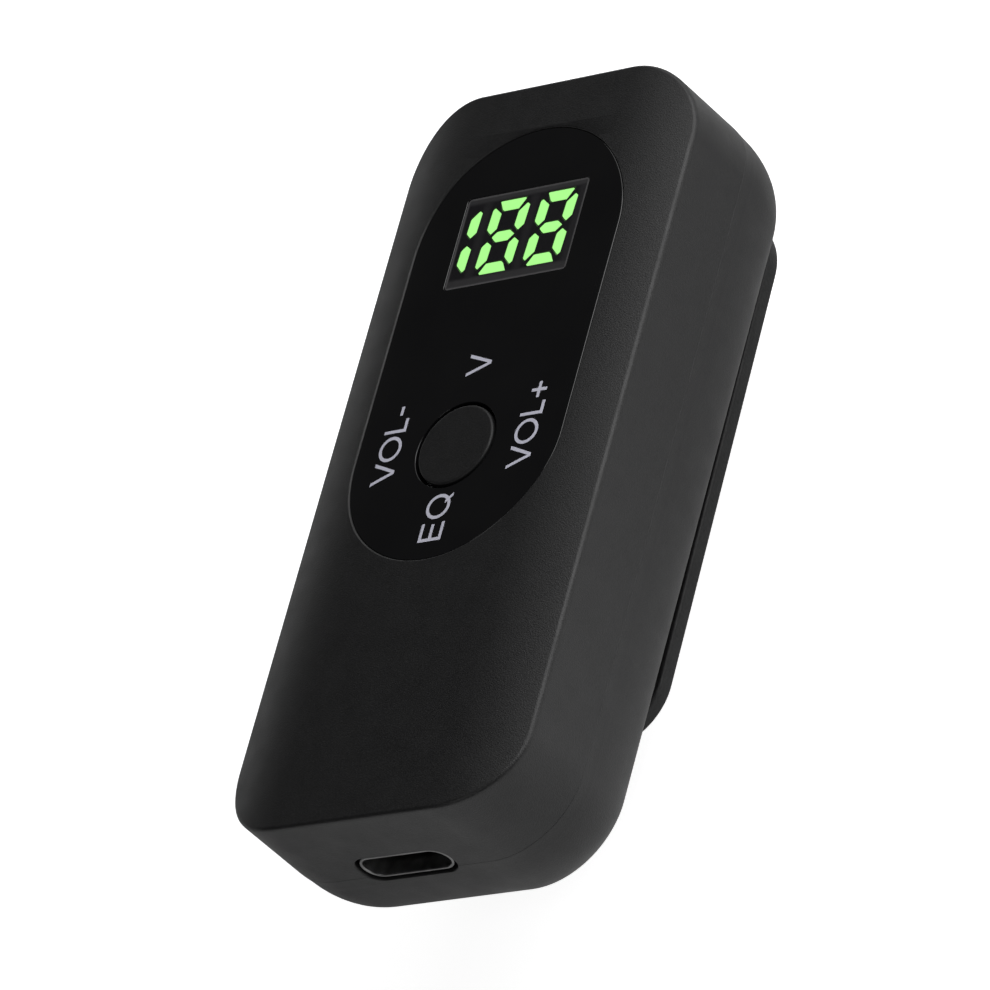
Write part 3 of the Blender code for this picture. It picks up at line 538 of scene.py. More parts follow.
SHELL = moulded("shell_plastic", grey(0.0070, 0.0003), grey(0.0155, 0.0004), 0.4, 0.48, 0.12, 0.022, 0.4)
CLIP = moulded("clip_plastic", grey(0.0070, 0.0003), grey(0.0145, 0.0004), 0.5, 0.58, 0.25, 0.03, 0.34)
CAP = moulded("button_plastic", grey(0.0055, 0.0003), grey(0.0120, 0.0004), 0.46, 0.54, 0.12, 0.018, 0.35)
LENS = Finish("lens_gloss").colour(grey(0.0046, 0.0004), grey(0.0058, 0.0004), 6.0)
LENS = LENS.rough(0.05, 0.09, 5.0).mat
INK = moulded("legend_ink", grey(0.57, 0.1), grey(0.64, 0.1), 0.45, 0.55, 0.2, 0.002)
SEGMENT = Finish("segment_glow").colour((0.04, 0.09, 0.03), (0.06, 0.12, 0.04), 0.5)
SEGMENT = SEGMENT.rough(0.35, 0.45, 0.6).glow((0.413, 1.0, 0.275), 0.95).mat
DISPLAY = display_finish()
STEEL = metal("bright_steel", grey(0.52, 0.01), grey(0.66), 0.2, 0.34)
# The USB shell is real steel, its colour painted far darker than bare steel: painted shade for the shadow
# inside the socket.
USB_STEEL_PAINTED_SHADE = metal("socket_steel_painted_shade", grey(0.14), grey(0.22), 0.28, 0.42)
SPRING_STEEL = metal("spring_steel", grey(0.34, 0.01), grey(0.5, 0.01), 0.22, 0.36)
SCREW_BLACK = metal("blackened_screw", grey(0.05, 0.005), grey(0.09, 0.005), 0.3, 0.42)
NICKEL = metal("nickel_plate", (0.58, 0.56, 0.52), (0.7, 0.68, 0.64), 0.16, 0.28)
GOLD = metal("contact_gold", (0.72, 0.5, 0.2), (0.85, 0.62, 0.28), 0.2, 0.32)
SOCKET_BLACK = moulded("socket_plastic", grey(0.008), grey(0.014), 0.38, 0.5, 0.4, 0.004)
BOARD = moulded("solder_mask", (0.006, 0.06, 0.026), (0.012, 0.1, 0.045), 0.28, 0.42, 1.1, 0.01)
CHIP = moulded("chip_epoxy", grey(0.014), grey(0.026), 0.45, 0.6, 0.12, 0.006)
TANTALUM = moulded("tantalum_case", (0.48, 0.3, 0.06), (0.62, 0.42, 0.1), 0.38, 0.5, 0.6, 0.006)
FERRITE = moulded("ferrite", grey(0.07), grey(0.13), 0.6, 0.75, 0.15, 0.015)
FOIL = Finish("cell_foil", metallic=0.7).colour((0.48, 0.49, 0.51), (0.6, 0.61, 0.63), 4.0)
FOIL = FOIL.rough(0.28, 0.42, 3.0).bump(2.2, 0.05, 1.0).mat
FOAM = moulded("cell_foam", grey(0.06), grey(0.14), 0.85, 0.95, 0.25, 0.06)
LEAD_RED = moulded("lead_red", (0.42, 0.012, 0.012), (0.56, 0.025, 0.02), 0.34, 0.46, 0.8, 0.004)
LEAD_BLACK = moulded("lead_black", grey(0.014), grey(0.024), 0.34, 0.46, 0.8, 0.004)


# Case

def mouth(outline, straight_from, face, outward):
    """A cutter through an end wall along Z before it is turned, with a rounded mouth at the face."""
    rings = [flat(outline(0.0), straight_from)]
    for inset, sink in reversed(quarter(MOUTH_EDGE, 5)):
        rings.append(flat(outline(inset), face - outward * sink))
    rings.append(flat(outline(MOUTH_EDGE + 0.05), face + outward * 0.5))
    return loft(rings)


def usb_hole():
    def outline(grow):
        height = USB[1] + 2 * (USB_GAP + grow)
        return rounded(USB[0] + 2 * (USB_GAP + grow), height, USB[1] / 2 + grow, 12)
    return along_y(mouth(outline, USB_FRONT + WALL, -END - DRAFT, -1.0), 0.0, USB_Z)


def jack_hole(x):
    def outline(grow):
        return circle(BUSH_RADIUS + FIT + grow)
    return along_y(mouth(outline, END - 2 * WALL, END + DRAFT, 1.0), x, JACK_Z)


def socket_holes():
    return [usb_hole(), jack_hole(-JACK_X), jack_hole(JACK_X)]


def pocket():
    """The lens pocket, whose rim follows the crown and is slightly rounded."""
    rings = [flat(lens_outline(-FIT), FRONT - LENS_DEPTH - SEAT)]
    for inset, sink in reversed(quarter(POCKET_EDGE, 5)[1:]):
        rings.append(crowned(lens_outline(-FIT - inset), sink))
    rings.append(crowned(lens_outline(-FIT - POCKET_EDGE), -0.1))
    rings.append(flat(lens_outline(-FIT - POCKET_EDGE), FRONT + 1.0))
    return loft(rings)


def disc(radius, low, high, centre):
    return turned([(radius, low), (radius, high)], centre)


def front_case():
    inner = WIDTH / 2 - CROWN_FLAT + 0.1
    steps = 16
    edge = CREASE + SUPPORT
    rings = [crowned(case_outline(inner + (edge - inner) * i / steps)) for i in range(steps + 1)]
    rings += [crowned(case_outline(inset), sink) for inset, sink in quarter(CREASE, 6)]
    rings.append(crowned(case_outline(-0.01), CREASE + SUPPORT))
    rings.append(flat(case_outline(-DRAFT), PARTING + SHELL_EDGE + SUPPORT))
    rings.append(flat(case_outline(-DRAFT), PARTING + SHELL_EDGE))
    rings.append(flat(case_outline(SHELL_EDGE - DRAFT), PARTING))
    rebate_top = PARTING + LIP_HEIGHT + SEAT
    rings.append(flat(case_outline(LIP - FIT), PARTING))
    rings.append(flat(case_outline(LIP - FIT), rebate_top))
    rings.append(flat(case_outline(WALL), rebate_top))
    rings.append(flat(case_outline(WALL), CEILING - CEILING_CHAMFER))
    rings.append(flat(case_outline(WALL + CEILING_CHAMFER), CEILING))
    shell = add_object("case_front", loft(rings))
    fuse(shell, *[disc(POST_RADIUS, BOARD_TOP + SEAT, CEILING + 0.5, place) for place in SCREWS])
    cut(
        shell,
        pocket(),
        prism(window_outline(0.0), CEILING - 1.0, FRONT),
        disc(CAP_HOLE, CEILING - 1.0, FRONT, BUTTON),
        *socket_holes(),
        *[disc(SCREW_RADIUS + RUN, BOARD_TOP - 1.0, SCREW_TIP_Z + SEAT, place) for place in SCREWS],
    )
    finish_piece(shell, SHELL, "case", ["front_shell"])
    crown_shading(shell, 0.0)
    wall_shading(shell)


def rear_rings(offset, lowest, steps):
    rings = []
    for i in range(steps + 1):
        angle = math.radians(90.0 * (1 - i / steps))
        inset = REAR_ROUND_INSET * (1 - math.cos(angle))
        z = BACK + REAR_ROUND_HEIGHT * (1 - math.sin(angle))
        if z > lowest + 0.05 or i == 0:
            rings.append(flat(rear_outline(inset, offset), max(z, lowest)))
    return rings


def hinge_tab(x_range, wall_z, facing):
    """A tab round the hinge pin, tied to the wall above it (facing 1) or below it (facing -1)."""
    edge = 0.12

    def section(shrink):
        radius = KNUCKLE_RADIUS - shrink
        points = arc((0.0, 0.0), radius, 180, 360, 24)
        points += [(radius, wall_z), (-radius, wall_z)]
        return [(y, facing * z) for y, z in points]

    places = [(x_range[0], edge), (x_range[0] + edge, 0.0), (x_range[1] - edge, 0.0), (x_range[1], edge)]
    rings = [[(x, HINGE_Y + y, HINGE_Z + z) for y, z in section(shrink)] for x, shrink in places]
    return loft(rings)


def both_sides(x_range):
    return [x_range, (-x_range[1], -x_range[0])]


def pin_bore(half, radius=PIN_RADIUS + RUN):
    return along_x(turned([(radius, -half), (radius, half)], (0.0, 0.0), 48), HINGE_Y, HINGE_Z)


def counterbore(place):
    radius = SCREW_HEAD + SEAT
    profile = [(radius + MOUTH_EDGE, BACK - 1.0), (radius + MOUTH_EDGE, BACK)]
    profile += [(radius + inset, BACK + sink) for inset, sink in quarter(MOUTH_EDGE, 4)][1:]
    profile.append((radius, SCREW_SEAT_Z))
    return turned(profile, place)


def rear_case():
    top = PARTING - PARTING_GAP
    rings = [flat(rear_outline(REAR_ROUND_INSET + 0.4, 0.0), BACK)]
    rings += rear_rings(0.0, BACK, 18)
    rings.append(flat(case_outline(-DRAFT), top - SHELL_EDGE - SUPPORT))
    rings.append(flat(case_outline(-DRAFT), top - SHELL_EDGE))
    rings.append(flat(case_outline(SHELL_EDGE - DRAFT), top))
    rings.append(flat(case_outline(LIP), top))
    rings.append(flat(case_outline(LIP), PARTING + LIP_HEIGHT))
    rings.append(flat(case_outline(WALL), PARTING + LIP_HEIGHT))
    rings += reversed(rear_rings(WALL, FLOOR, 8))
    shell = add_object("case_rear", loft(rings))
    fuse(shell, *[disc(BOSS_RADIUS, FLOOR - 0.5, BOARD_UNDER - SEAT, place) for place in SCREWS])
    fuse(shell, *[hinge_tab(x_range, BACK - HINGE_Z + 0.5, 1.0) for x_range in both_sides(EAR_X)])
    cut(shell, *socket_holes())
    cut(shell, *[counterbore(place) for place in SCREWS])
    cut(shell, *[disc(SCREW_RADIUS + SEAT, BACK, BOARD_TOP, place) for place in SCREWS])
    cut(shell, pin_bore(WIDTH / 2))
    finish_piece(shell, SHELL, "case", ["rear_shell"])
    wall_shading(shell)


def rimmed_hole(outline):
    """A cutter through the lens with a rounded rim at its top face."""
    rings = [flat(outline(0.0), FRONT - 2 * LENS_DEPTH)]
    for inset, sink in reversed(quarter(HOLE_EDGE, 5)[1:]):
        rings.append(flat(outline(inset), LENS_TOP - sink))
    rings.append(flat(outline(HOLE_EDGE), LENS_TOP + 1.0))
    return loft(rings)


def lens():
    inner = LENS_WIDTH / 2 - CROWN_FLAT + 0.1
    edge = LENS_EDGE - LENS_FILL
    steps = 8
    rings = [crowned(lens_outline(inner + (edge - inner) * i / steps), LENS_SINK) for i in range(steps)]
    for inset, sink in quarter(LENS_EDGE, 5):
        rings.append(crowned(lens_outline(inset - LENS_FILL), LENS_SINK + sink))
    rings.append(flat(lens_outline(-LENS_FILL), FRONT - LENS_DEPTH))
    panel = add_object("lens", loft(rings))
    cut(
        panel,
        rimmed_hole(lambda grow: window_outline(WINDOW_FILL - grow)),
        rimmed_hole(lambda grow: shifted(circle(CAP_HOLE + grow), *BUTTON)),
    )
    finish_piece(panel, LENS, "case", ["lens_panel"])
    crown_shading(panel, LENS_SINK)


# Legends: the letter tops point to -X and the words run along +Y

STROKE = 0.3
INK_RISE = 0.008
INK_ROOT = 0.03
INK_STEP = 0.3


def letter_v(width, height):
    half = width / 2
    lean = STROKE / math.cos(math.atan2(half, height))
    inner = height * (1 - 0.5 * lean / half)
    return [[(0, height), (half - lean / 2, 0), (half + lean / 2, 0), (width, height),
             (width - lean, height), (half, height - inner), (lean, height)]], None


def letter_l(width, height):
    return [[(0, 0), (width, 0), (width, STROKE), (STROKE, STROKE), (STROKE, height), (0, height)]], None


def letter_e(width, height):
    middle = height / 2
    arm = STROKE / 2
    return [[(0, 0), (width, 0), (width, STROKE), (STROKE, STROKE), (STROKE, middle - arm),
             (0.92 * width, middle - arm), (0.92 * width, middle + arm), (STROKE, middle + arm),
             (STROKE, height - STROKE), (width, height - STROKE), (width, height), (0, height)]], None


def letter_o(width, height):
    def ellipse(shrink):
        return [(width / 2 + (width / 2 - shrink) * x, height / 2 + (height / 2 - shrink) * y)
                for x, y in circle(1.0, 64)]
    return [], (ellipse(-0.03), ellipse(STROKE - 0.03))


def letter_q(width, height):
    tail = [(0.6 * width, 0.24 * height), (0.88 * width, -0.06 * height),
            (0.88 * width + STROKE, -0.06 * height + 0.05), (0.6 * width + STROKE, 0.24 * height + 0.05)]
    return [tail], letter_o(width, height)[1]


def sign_minus(width, height):
    level = 0.36 * height
    return [[(0, level), (width, level), (width, level + STROKE), (0, level + STROKE)]], None


def sign_plus(width, height):
    middle = 0.36 * height + STROKE / 2
    near = (width - STROKE) / 2
    far = (width + STROKE) / 2
    arm = STROKE / 2
    half = width / 2
    return [[(near, middle - half), (far, middle - half), (far, middle - arm), (width, middle - arm),
             (width, middle + arm), (far, middle + arm), (far, middle + half), (near, middle + half),
             (near, middle + arm), (0, middle + arm), (0, middle - arm), (near, middle - arm)]], None


def upright(points, base_x, start_y, z):
    return [(base_x - up, start_y + along, z) for along, up in points]


def draped(word):
    """Lays a flat word on the crowned lens, cut closely enough to follow it."""
    mesh = bmesh.new()
    mesh.from_mesh(word.data)
    places = [v.co.x / MM for v in mesh.verts]
    cuts = int((max(places) - min(places)) / INK_STEP)
    for i in range(1, cuts + 1):
        everything = mesh.verts[:] + mesh.edges[:] + mesh.faces[:]
        spot = ((min(places) + i * INK_STEP) * MM, 0.0, 0.0)
        bmesh.ops.bisect_plane(mesh, geom=everything, plane_co=spot, plane_no=(1.0, 0.0, 0.0))
    for v in mesh.verts:
        v.co.z += (LENS_TOP - crown_drop(v.co.x / MM)) * MM
    mesh.to_mesh(word.data)
    mesh.free()


def legend(name, base_x, start_y, height, letters):
    """One printed word: each letter is (shape, width, gap after it)."""
    word = None
    y = start_y
    for shape, width, gap in letters:
        outlines, ring = shape(width, height)
        builders = []
        if ring:
            outer, inner = ring
            builders.append(loft([
                upright(outer, base_x, y, -INK_ROOT), upright(outer, base_x, y, INK_RISE),
                upright(inner, base_x, y, INK_RISE), upright(inner, base_x, y, -INK_ROOT)], True))
        for points in outlines:
            builders.append(loft([
                upright(points, base_x, y, -INK_ROOT), upright(points, base_x, y, INK_RISE)]))
        y += width + gap
        if word is None:
            word = add_object(name, builders.pop(0))
        fuse(word, *builders)
    draped(word)
    finish_piece(word, INK, "case")


def legends():
    legend("legend_volume_down", -6.0, -3.1, 2.3,
           [(letter_v, 2.2, 0.08), (letter_o, 2.35, 0.38), (letter_l, 1.3, 0.4), (sign_minus, 0.85, 0.0)])
    legend("legend_volume_up", 8.5, -3.6, 2.3,
           [(letter_v, 2.2, 0.08), (letter_o, 2.35, 0.38), (letter_l, 1.3, 0.35), (sign_plus, 1.55, 0.0)])
    legend("legend_mode", 1.4, 6.4, 2.45, [(letter_v, 2.15, 0.0)])
    legend("legend_tone", 1.2, -9.5, 2.4, [(letter_e, 1.75, 0.4), (letter_q, 2.3, 0.0)])


# Display

def digit_bars():
    """The seven bars of a digit about its own centre: upper and lower sides, then top, bottom, middle."""
    w = DIGIT[0] / 2
    h = DIGIT[1] / 2
    corner = 0.2
    side_top = h - SIDE_BAR[0]
    side = [(w - BAR, BAR_GAP + BAR_POINT), (w - BAR / 2, BAR_GAP), (w, BAR_GAP + BAR_POINT),
            (w, side_top - corner), (w - corner, side_top), (w - BAR, side_top - SIDE_BAR[1])]
    reach = w - END_BAR[0]
    top = [(-reach, h), (reach, h), (reach - END_BAR[1], h - BAR), (END_BAR[1] - reach, h - BAR)]
    tip = w - BAR + MIDDLE_BAR_REACH
    inner = tip - BAR_POINT
    half = BAR / 2
    middle = [(-tip, 0), (-inner, -half), (inner, -half), (tip, 0), (inner, half), (-inner, half)]

    def mirrored(points, sx, sy):
        return [(sx * x, sy * y) for x, y in points]

    sides = [mirrored(side, sx, sy) for sx, sy in ((1, 1), (1, -1), (-1, 1), (-1, -1))]
    return sides + [top, mirrored(top, 1, -1), middle]


def display_light():
    plate_top = DISPLAY_FACE_Z - DISPLAY_FACE_DEPTH - RUN
    plate = prism(window_outline(DISPLAY_INNER_GAP), plate_top - GUIDE_PLATE, plate_top)
    guide = add_object("display_light", plate)
    bars = digit_bars()
    for place, chosen in ((-2, bars[:2]), (-1, bars), (0, bars)):
        x = LAST_DIGIT[0] + place * DIGIT_PITCH
        for points in chosen:
            outline = softened([(x + px + py * SLANT, LAST_DIGIT[1] + py) for px, py in points], BAR_CORNER)
            fuse(guide, prism(outline, plate_top - GUIDE_PLATE / 2, DISPLAY_FACE_Z))
    finish_piece(guide, SEGMENT, "case", ["display_guide"])


# Button

def button():
    boss, depth = CAP_BOSS
    profile = [(CAP_SOCKET, STEM_TOP_Z), (CAP_SOCKET, CAP_UNDER - depth), (boss, CAP_UNDER - depth),
               (boss, CAP_UNDER), (CAP_RADIUS, CAP_UNDER), (CAP_RADIUS, CAP_TOP - CAP_EDGE - SUPPORT)]
    profile += [(CAP_RADIUS - inset, CAP_TOP - sink) for inset, sink in reversed(quarter(CAP_EDGE, 6))]
    profile.append((CAP_RADIUS - CAP_EDGE - SUPPORT, CAP_TOP))
    cap = add_object("button_face", turned(profile, BUTTON, 128))
    finish_piece(cap, CAP, "button", ["button_cap"])


# Sockets

def usb_socket():
    half = USB_SHEET / 2
    rings = [flat(usb_outline(0.0), USB_REAR)]
    for k in range(7):
        angle = math.radians(180.0 * k / 6)
        inset = half * (1 - math.cos(angle))
        rings.append(flat(usb_outline(inset), USB_FRONT + half * (1 - math.sin(angle))))
    rings.append(flat(usb_outline(USB_SHEET), USB_REAR))
    shell = add_object("usb_socket", along_y(loft(rings, True), 0.0, USB_Z))
    # The shell wears the steel painted dark with the socket's shade.
    finish_piece(shell, USB_STEEL_PAINTED_SHADE, "case", ["usb_shell"], 40.0)

    block_front = USB_REAR - TONGUE_BLOCK
    tip = block_front - TONGUE[2]
    block = along_y(prism(usb_outline(USB_SHEET + RUN), block_front, USB_REAR), 0.0, USB_Z)
    tongue = add_object("usb_blade", block)
    edge = 0.18
    blade = [flat(rounded(TONGUE[0] - 2 * edge, TONGUE[1] - 2 * edge, 0.05, 4), tip)]
    blade.append(flat(rounded(TONGUE[0], TONGUE[1], 0.2, 4), tip + edge))
    blade.append(flat(rounded(TONGUE[0], TONGUE[1], 0.2, 4), block_front + 0.5))
    fuse(tongue, along_y(loft(blade), 0.0, USB_Z))
    finish_piece(tongue, SOCKET_BLACK, "case", ["usb_tongue"])

    contacts = None
    pitch = 0.5
    for face in (-1, 1):
        for i in range(12):
            x = (i - 5.5) * pitch
            outline = softened([(x - 0.13, tip + 0.5), (x + 0.13, tip + 0.5),
                                (x + 0.13, block_front - 0.2), (x - 0.13, block_front - 0.2)], 0.06)
            top = USB_Z + face * TONGUE[1] / 2
            low, high = sorted((top - face * 0.05, top + face * 0.02))
            strip = prism(outline, low, high)
            if contacts is None:
                contacts = strip
            else:
                joined = bpy.data.meshes.new("strip")
                strip.to_mesh(joined)
                contacts.from_mesh(joined)
                strip.free()
                bpy.data.meshes.remove(joined)
    finish_piece(add_object("usb_contacts", contacts), GOLD, "case")


def jack_bushes():
    edge = 0.2
    inner = END - BUSH_LENGTH
    profile = [(BUSH_RADIUS, inner), (BUSH_RADIUS, END - edge), (BUSH_RADIUS - edge, END),
               (JACK_BORE + 1.6 * edge, END), (JACK_BORE, END - 1.6 * edge), (JACK_BORE, inner)]
    for name, x in (("headphone_jack", -JACK_X), ("line_in_jack", JACK_X)):
        ring = loft([flat(circle(radius), y) for radius, y in profile], True)
        bush = add_object(name + "_ring", along_y(ring, x, JACK_Z))
        finish_piece(bush, NICKEL, "case", [name + "_bush"])


# Fasteners and clip

def screws():
    seat = SCREW_SEAT_Z - RUN
    head = seat - 1.0
    edge = 0.25
    profile = [(SCREW_HEAD - edge - inset, head + 0.02 * inset) for inset in (0.6, 0.0)]
    profile += [(SCREW_HEAD - inset, head + sink) for inset, sink in quarter(edge, 4)]
    profile += [(SCREW_HEAD, seat), (SCREW_RADIUS, seat), (SCREW_RADIUS, SCREW_TIP_Z - 0.5),
                (SCREW_RADIUS * 0.5, SCREW_TIP_Z)]
    for number, place in enumerate(SCREWS, 1):
        screw = add_object(f"screw_{number}", turned(profile, place, 48))
        reach = SCREW_HEAD * 0.6
        half = 0.2
        for wide, tall in ((reach, half), (half, reach)):
            outline = [(-wide, -tall), (wide, -tall), (wide, tall), (-wide, tall)]
            taper = [(0.8 * x, 0.8 * y) for x, y in outline]
            rings = [flat(shifted(outline, *place), head - 0.5), flat(shifted(outline, *place), head),
                     flat(shifted(taper, *place), head + 0.5)]
            cut(screw, loft(rings))
        finish_piece(screw, SCREW_BLACK, "case", [f"case_screw_{number}"])


def clip_outline(offset):
    top_r = CLIP_TOP[1] - offset
    tip_r = CLIP_TIP[1] - offset
    top_x = CLIP_TOP[0] - offset - top_r
    tip_x = CLIP_TIP[0] - offset - tip_r
    top = CLIP_TOP_Y - offset - top_r
    tip = CLIP_TIP_Y + offset + tip_r
    points = arc((top_x, top), top_r, 0, 90, CORNER_STEPS)
    points += arc((-top_x, top), top_r, 90, 180, CORNER_STEPS)
    points += arc((-tip_x, tip), tip_r, 180, 270, CORNER_STEPS)
    return points + arc((tip_x, tip), tip_r, 270, 360, CORNER_STEPS)


def clip():
    edge = quarter(CLIP_EDGE, 5)
    rings = [flat(clip_outline(CLIP_EDGE + 0.3), 0.0)]
    rings += [flat(clip_outline(inset), sink) for inset, sink in edge]
    rings += [flat(clip_outline(inset), CLIP_THICKNESS - sink) for inset, sink in reversed(edge)]
    rings.append(flat(clip_outline(CLIP_EDGE + 0.3), CLIP_THICKNESS))
    lever = add_object("clip_plate", loft(rings))
    root = CLIP_THICKNESS / 2
    jaw_top = BACK - 2 * FIT
    crest = 0.6

    def jaw_outline(inset):
        radius = 0.45 * JAW[1] - inset
        return shifted(rounded(JAW[0] - 2 * inset, JAW[1] - 2 * inset, radius, 8), 0.0, JAW_Y)

    jaw = [flat(jaw_outline(0.0), root)]
    jaw += [flat(jaw_outline(inset), jaw_top - sink) for inset, sink in reversed(quarter(crest, 6))]
    fuse(lever, loft(jaw))
    fuse(lever, *[hinge_tab(x_range, HINGE_Z - root, -1.0) for x_range in both_sides(KNUCKLE_X)])
    cut(lever, pin_bore(EAR_X[0]))
    finish_piece(lever, CLIP, "clip", ["clip_lever"])


def clip_pin():
    half = EAR_X[1] - RUN
    edge = 0.12
    profile = [(PIN_RADIUS - edge, -half), (PIN_RADIUS, edge - half), (PIN_RADIUS, half - edge),
               (PIN_RADIUS - edge, half)]
    pin = add_object("hinge_pin", along_x(turned(profile, (0.0, 0.0), 40), HINGE_Y, HINGE_Z))
    finish_piece(pin, STEEL, "case", ["clip_pin"])


def clip_spring():
    steps = int(SPRING_TURNS * 48)
    path = [(-SPRING_WIDTH / 2, HINGE_Y + SPRING_LEG, HINGE_Z + SPRING_RADIUS)]
    for i in range(steps + 1):
        angle = math.radians(90.0) + 2 * math.pi * SPRING_TURNS * i / steps
        across = SPRING_WIDTH * (i / steps - 0.5)
        y = HINGE_Y + SPRING_RADIUS * math.cos(angle)
        path.append((across, y, HINGE_Z + SPRING_RADIUS * math.sin(angle)))
    path.append((SPRING_WIDTH / 2, HINGE_Y + SPRING_LEG, HINGE_Z - SPRING_RADIUS))
    spring = add_object("hinge_spring", tube(path, SPRING_WIRE, 14))
    finish_piece(spring, SPRING_STEEL, None, ["clip_spring"])
    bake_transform(spring)


# Inside pieces

def foam_pad():
    """The pad under the cell: a soft block, slightly crowned and drawn in at its sides."""
    low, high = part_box("battery_foam")
    low, high = low / MM, high / MM
    middle = (low + high) / 2
    rings = []
    steps = 10
    for k in range(steps + 1):
        angle = math.pi * k / steps
        inset = 0.35 * (1 - math.sin(angle)) + 0.05
        z = middle.z - (high.z - low.z) / 2 * math.cos(angle)
        outline = rounded(high.x - low.x - 2 * inset, high.y - low.y - 2 * inset, 1.2 - inset, 8)
        rings.append(flat(shifted(outline, middle.x, middle.y), z))
    pad = add_object("foam_pad", loft(rings))
    finish_piece(pad, FOAM, "case", ["battery_foam"], 60.0)


def battery_lead(name, x, mat):
    low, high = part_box(name)
    low, high = low / MM, high / MM
    radius = (high.x - low.x) / 2
    start = (x, low.y, low.z + radius)
    bend = 1.2
    turn_y = high.y - radius
    path = [start]
    path += [(x, y, z) for y, z in arc((turn_y - bend, start[2] + bend), bend, -90, 0, 14)]
    path.append((x, turn_y, high.z))
    lead = add_object(name + "_wire", tube(path, radius - 0.01, 20))
    finish_piece(lead, mat, "case", [name])


INSIDE = {
    "display_housing": DISPLAY, "display_board": BOARD, "nav_base": SOCKET_BLACK, "nav_cover": STEEL,
    "nav_rocker": SOCKET_BLACK, "nav_carrier": SOCKET_BLACK, "nav_stem": SOCKET_BLACK, "main_board": BOARD,
    "control_chip": CHIP, "clock_crystal": STEEL, "amp_chip": CHIP, "charger_chip": CHIP,
    "power_inductor": FERRITE, "output_capacitor_left": TANTALUM, "output_capacitor_right": TANTALUM,
    "headphone_jack": SOCKET_BLACK, "line_in_jack": SOCKET_BLACK, "battery_cell": FOIL, "cell_board": BOARD,
}


def inside_pieces():
    for name, mat in INSIDE.items():
        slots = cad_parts[name].data.materials
        slots.clear()
        slots.append(mat)
    foam_pad()
    battery_lead("battery_lead_positive", 1.3, LEAD_RED)
    battery_lead("battery_lead_negative", -1.3, LEAD_BLACK)


# Camera, light and floor

CAMERA_PLACE = (0.43509, -0.33064, 0.45282)
CAMERA_RIGHT = (0.77278, 0.23646, -0.58898)
CAMERA_UP = (0.12868, 0.85036, 0.51023)
CAMERA_BACK = (0.62150, -0.47009, 0.62671)
CAMERA_LENS = 311.9
FLOOR_Z = -0.0066


def make_camera():
    data = bpy.data.cameras.new("camera")
    data.sensor_fit = "HORIZONTAL"
    data.sensor_width = 36.0
    data.lens = CAMERA_LENS
    data.clip_start = 0.01
    data.clip_end = 100.0
    camera = bpy.data.objects.new("camera", data)
    turn = Matrix((CAMERA_RIGHT, CAMERA_UP, CAMERA_BACK)).transposed().to_4x4()
    camera.matrix_world = Matrix.Translation(CAMERA_PLACE) @ turn
    bpy.context.scene.collection.objects.link(camera)
    bpy.context.scene.camera = camera


def soft_lamp(name, direction, distance, size, level):
    """A square softbox that would light a white card facing it to this level."""
    data = bpy.data.lights.new(name, "AREA")
    data.shape = "SQUARE"
    data.size = size
    data.energy = level * math.pi ** 2 * distance ** 2
    lamp = bpy.data.objects.new(name, data)
    towards = Vector(direction).normalized()
    lamp.location = towards * distance
    lamp.rotation_mode = "QUATERNION"
    lamp.rotation_quaternion = (-towards).to_track_quat("-Z", "Y")
    lamp.visible_camera = False
    bpy.context.scene.collection.objects.link(lamp)


def maths(tree, operation, first, second):
    node = tree.nodes.new("ShaderNodeMath")
    node.operation = operation
    tree.links.new(first, node.inputs[0])
    tree.links.new(second, node.inputs[1])
    return node.outputs["Value"]


def map_range(tree, value, start, end, low, high):
    node = tree.nodes.new("ShaderNodeMapRange")
    node.interpolation_type = "SMOOTHSTEP"
    for key, number in (("From Min", start), ("From Max", end), ("To Min", low), ("To Max", high)):
        node.inputs[key].default_value = number
    tree.links.new(value, node.inputs["Value"])
    return node.outputs["Result"]


def make_world():
    """A white horizon that falls off to a dim ceiling, with a plain white backdrop low down."""
    world = bpy.data.worlds.new("studio")
    bpy.context.scene.world = world
    world.use_nodes = True
    tree = world.node_tree
    background = tree.nodes["Background"]
    background.inputs["Color"].default_value = (1.0, 1.0, 1.0, 1.0)
    parts = tree.nodes.new("ShaderNodeSeparateXYZ")
    tree.links.new(tree.nodes.new("ShaderNodeTexCoord").outputs["Generated"], parts.inputs["Vector"])
    level = map_range(tree, parts.outputs["Z"], 0.0, 0.2, 1.0, 0.04)
    path = tree.nodes.new("ShaderNodeLightPath")
    mirrored = maths(tree, "MAXIMUM", path.outputs["Is Glossy Ray"], path.outputs["Is Transmission Ray"])
    seen = maths(tree, "MAXIMUM", path.outputs["Is Camera Ray"], mirrored)
    backdrop = maths(tree, "MULTIPLY", map_range(tree, parts.outputs["Z"], 0.06, 0.12, 1.0, 0.0), seen)
    tree.links.new(maths(tree, "MAXIMUM", level, backdrop), background.inputs["Strength"])


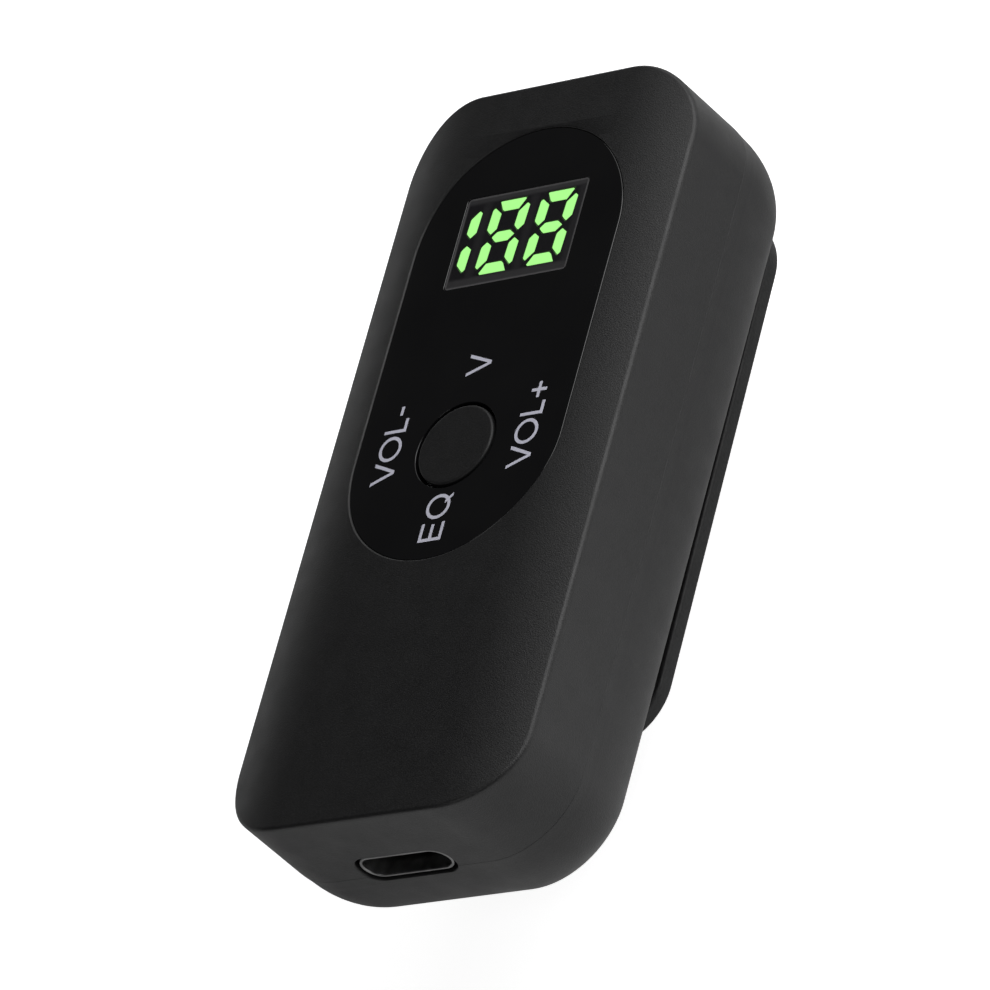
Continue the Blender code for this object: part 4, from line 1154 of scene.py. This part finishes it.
def make_floor():
    mesh = bmesh.new()
    bmesh.ops.create_grid(mesh, x_segments=1, y_segments=1, size=8.0)
    data = bpy.data.meshes.new("floor")
    mesh.to_mesh(data)
    mesh.free()
    plane = bpy.data.objects.new("floor", data)
    plane.location.z = FLOOR_Z
    bpy.context.scene.collection.objects.link(plane)
    mat = bpy.data.materials.new("floor_white")
    mat.use_nodes = True
    tree = mat.node_tree
    shader = tree.nodes["Principled BSDF"]
    shader.inputs["Base Color"].default_value = (0.75, 0.75, 0.75, 1.0)
    shader.inputs["Roughness"].default_value = 0.9
    shader.inputs["Specular IOR Level"].default_value = 0.0
    shader.inputs["Emission Color"].default_value = (1.0, 1.0, 1.0, 1.0)
    distance = tree.nodes.new("ShaderNodeVectorMath")
    distance.operation = "LENGTH"
    place = tree.nodes.new("ShaderNodeTexCoord").outputs["Object"]
    tree.links.new(place, distance.inputs[0])
    aside = tree.nodes.new("ShaderNodeVectorMath")
    aside.operation = "DOT_PRODUCT"
    tree.links.new(place, aside.inputs[0])
    aside.inputs[1].default_value = (math.sqrt(0.5), -math.sqrt(0.5), 0.0)
    path = tree.nodes.new("ShaderNodeLightPath")
    mirrored = maths(tree, "MAXIMUM", path.outputs["Is Glossy Ray"], path.outputs["Is Transmission Ray"])
    plain_level = map_range(tree, distance.outputs["Value"], 0.05, 0.15, 0.88, 1.0)
    # Reflections see the floor's glow painted darker near the object, a painted shadow of it, less dark
    # towards +X and -Y, and fading to full white far away.
    painted_shadow_near = map_range(tree, aside.outputs["Value"], 0.0, 0.045, 0.08, 0.5)
    painted_shadow_fade = map_range(tree, distance.outputs["Value"], 0.05, 0.5, 0.0, 1.0)
    mirror_level_painted_shadow = maths(tree, "MAXIMUM", painted_shadow_near, painted_shadow_fade)
    plain = maths(tree, "MULTIPLY", plain_level, path.outputs["Is Camera Ray"])
    mirror = maths(tree, "MULTIPLY", mirror_level_painted_shadow, mirrored)
    tree.links.new(maths(tree, "ADD", plain, mirror), shader.inputs["Emission Strength"])
    data.materials.append(mat)


front_case()
rear_case()
lens()
legends()
display_light()
button()
usb_socket()
jack_bushes()
screws()
clip()
clip_pin()
clip_spring()
inside_pieces()

bpy.context.scene.view_settings.view_transform = "Standard"
make_camera()
make_world()
make_floor()
soft_lamp("side_lamp", direction=(0.63, 0.47, 0.62), distance=0.42, size=0.32, level=0.68)
soft_lamp("front_lamp", direction=(0.1, -0.62, 0.78), distance=0.5, size=0.2, level=0.08)
soft_lamp("back_lamp", direction=(0.1, 0.75, 0.65), distance=0.34, size=0.26, level=0.28)
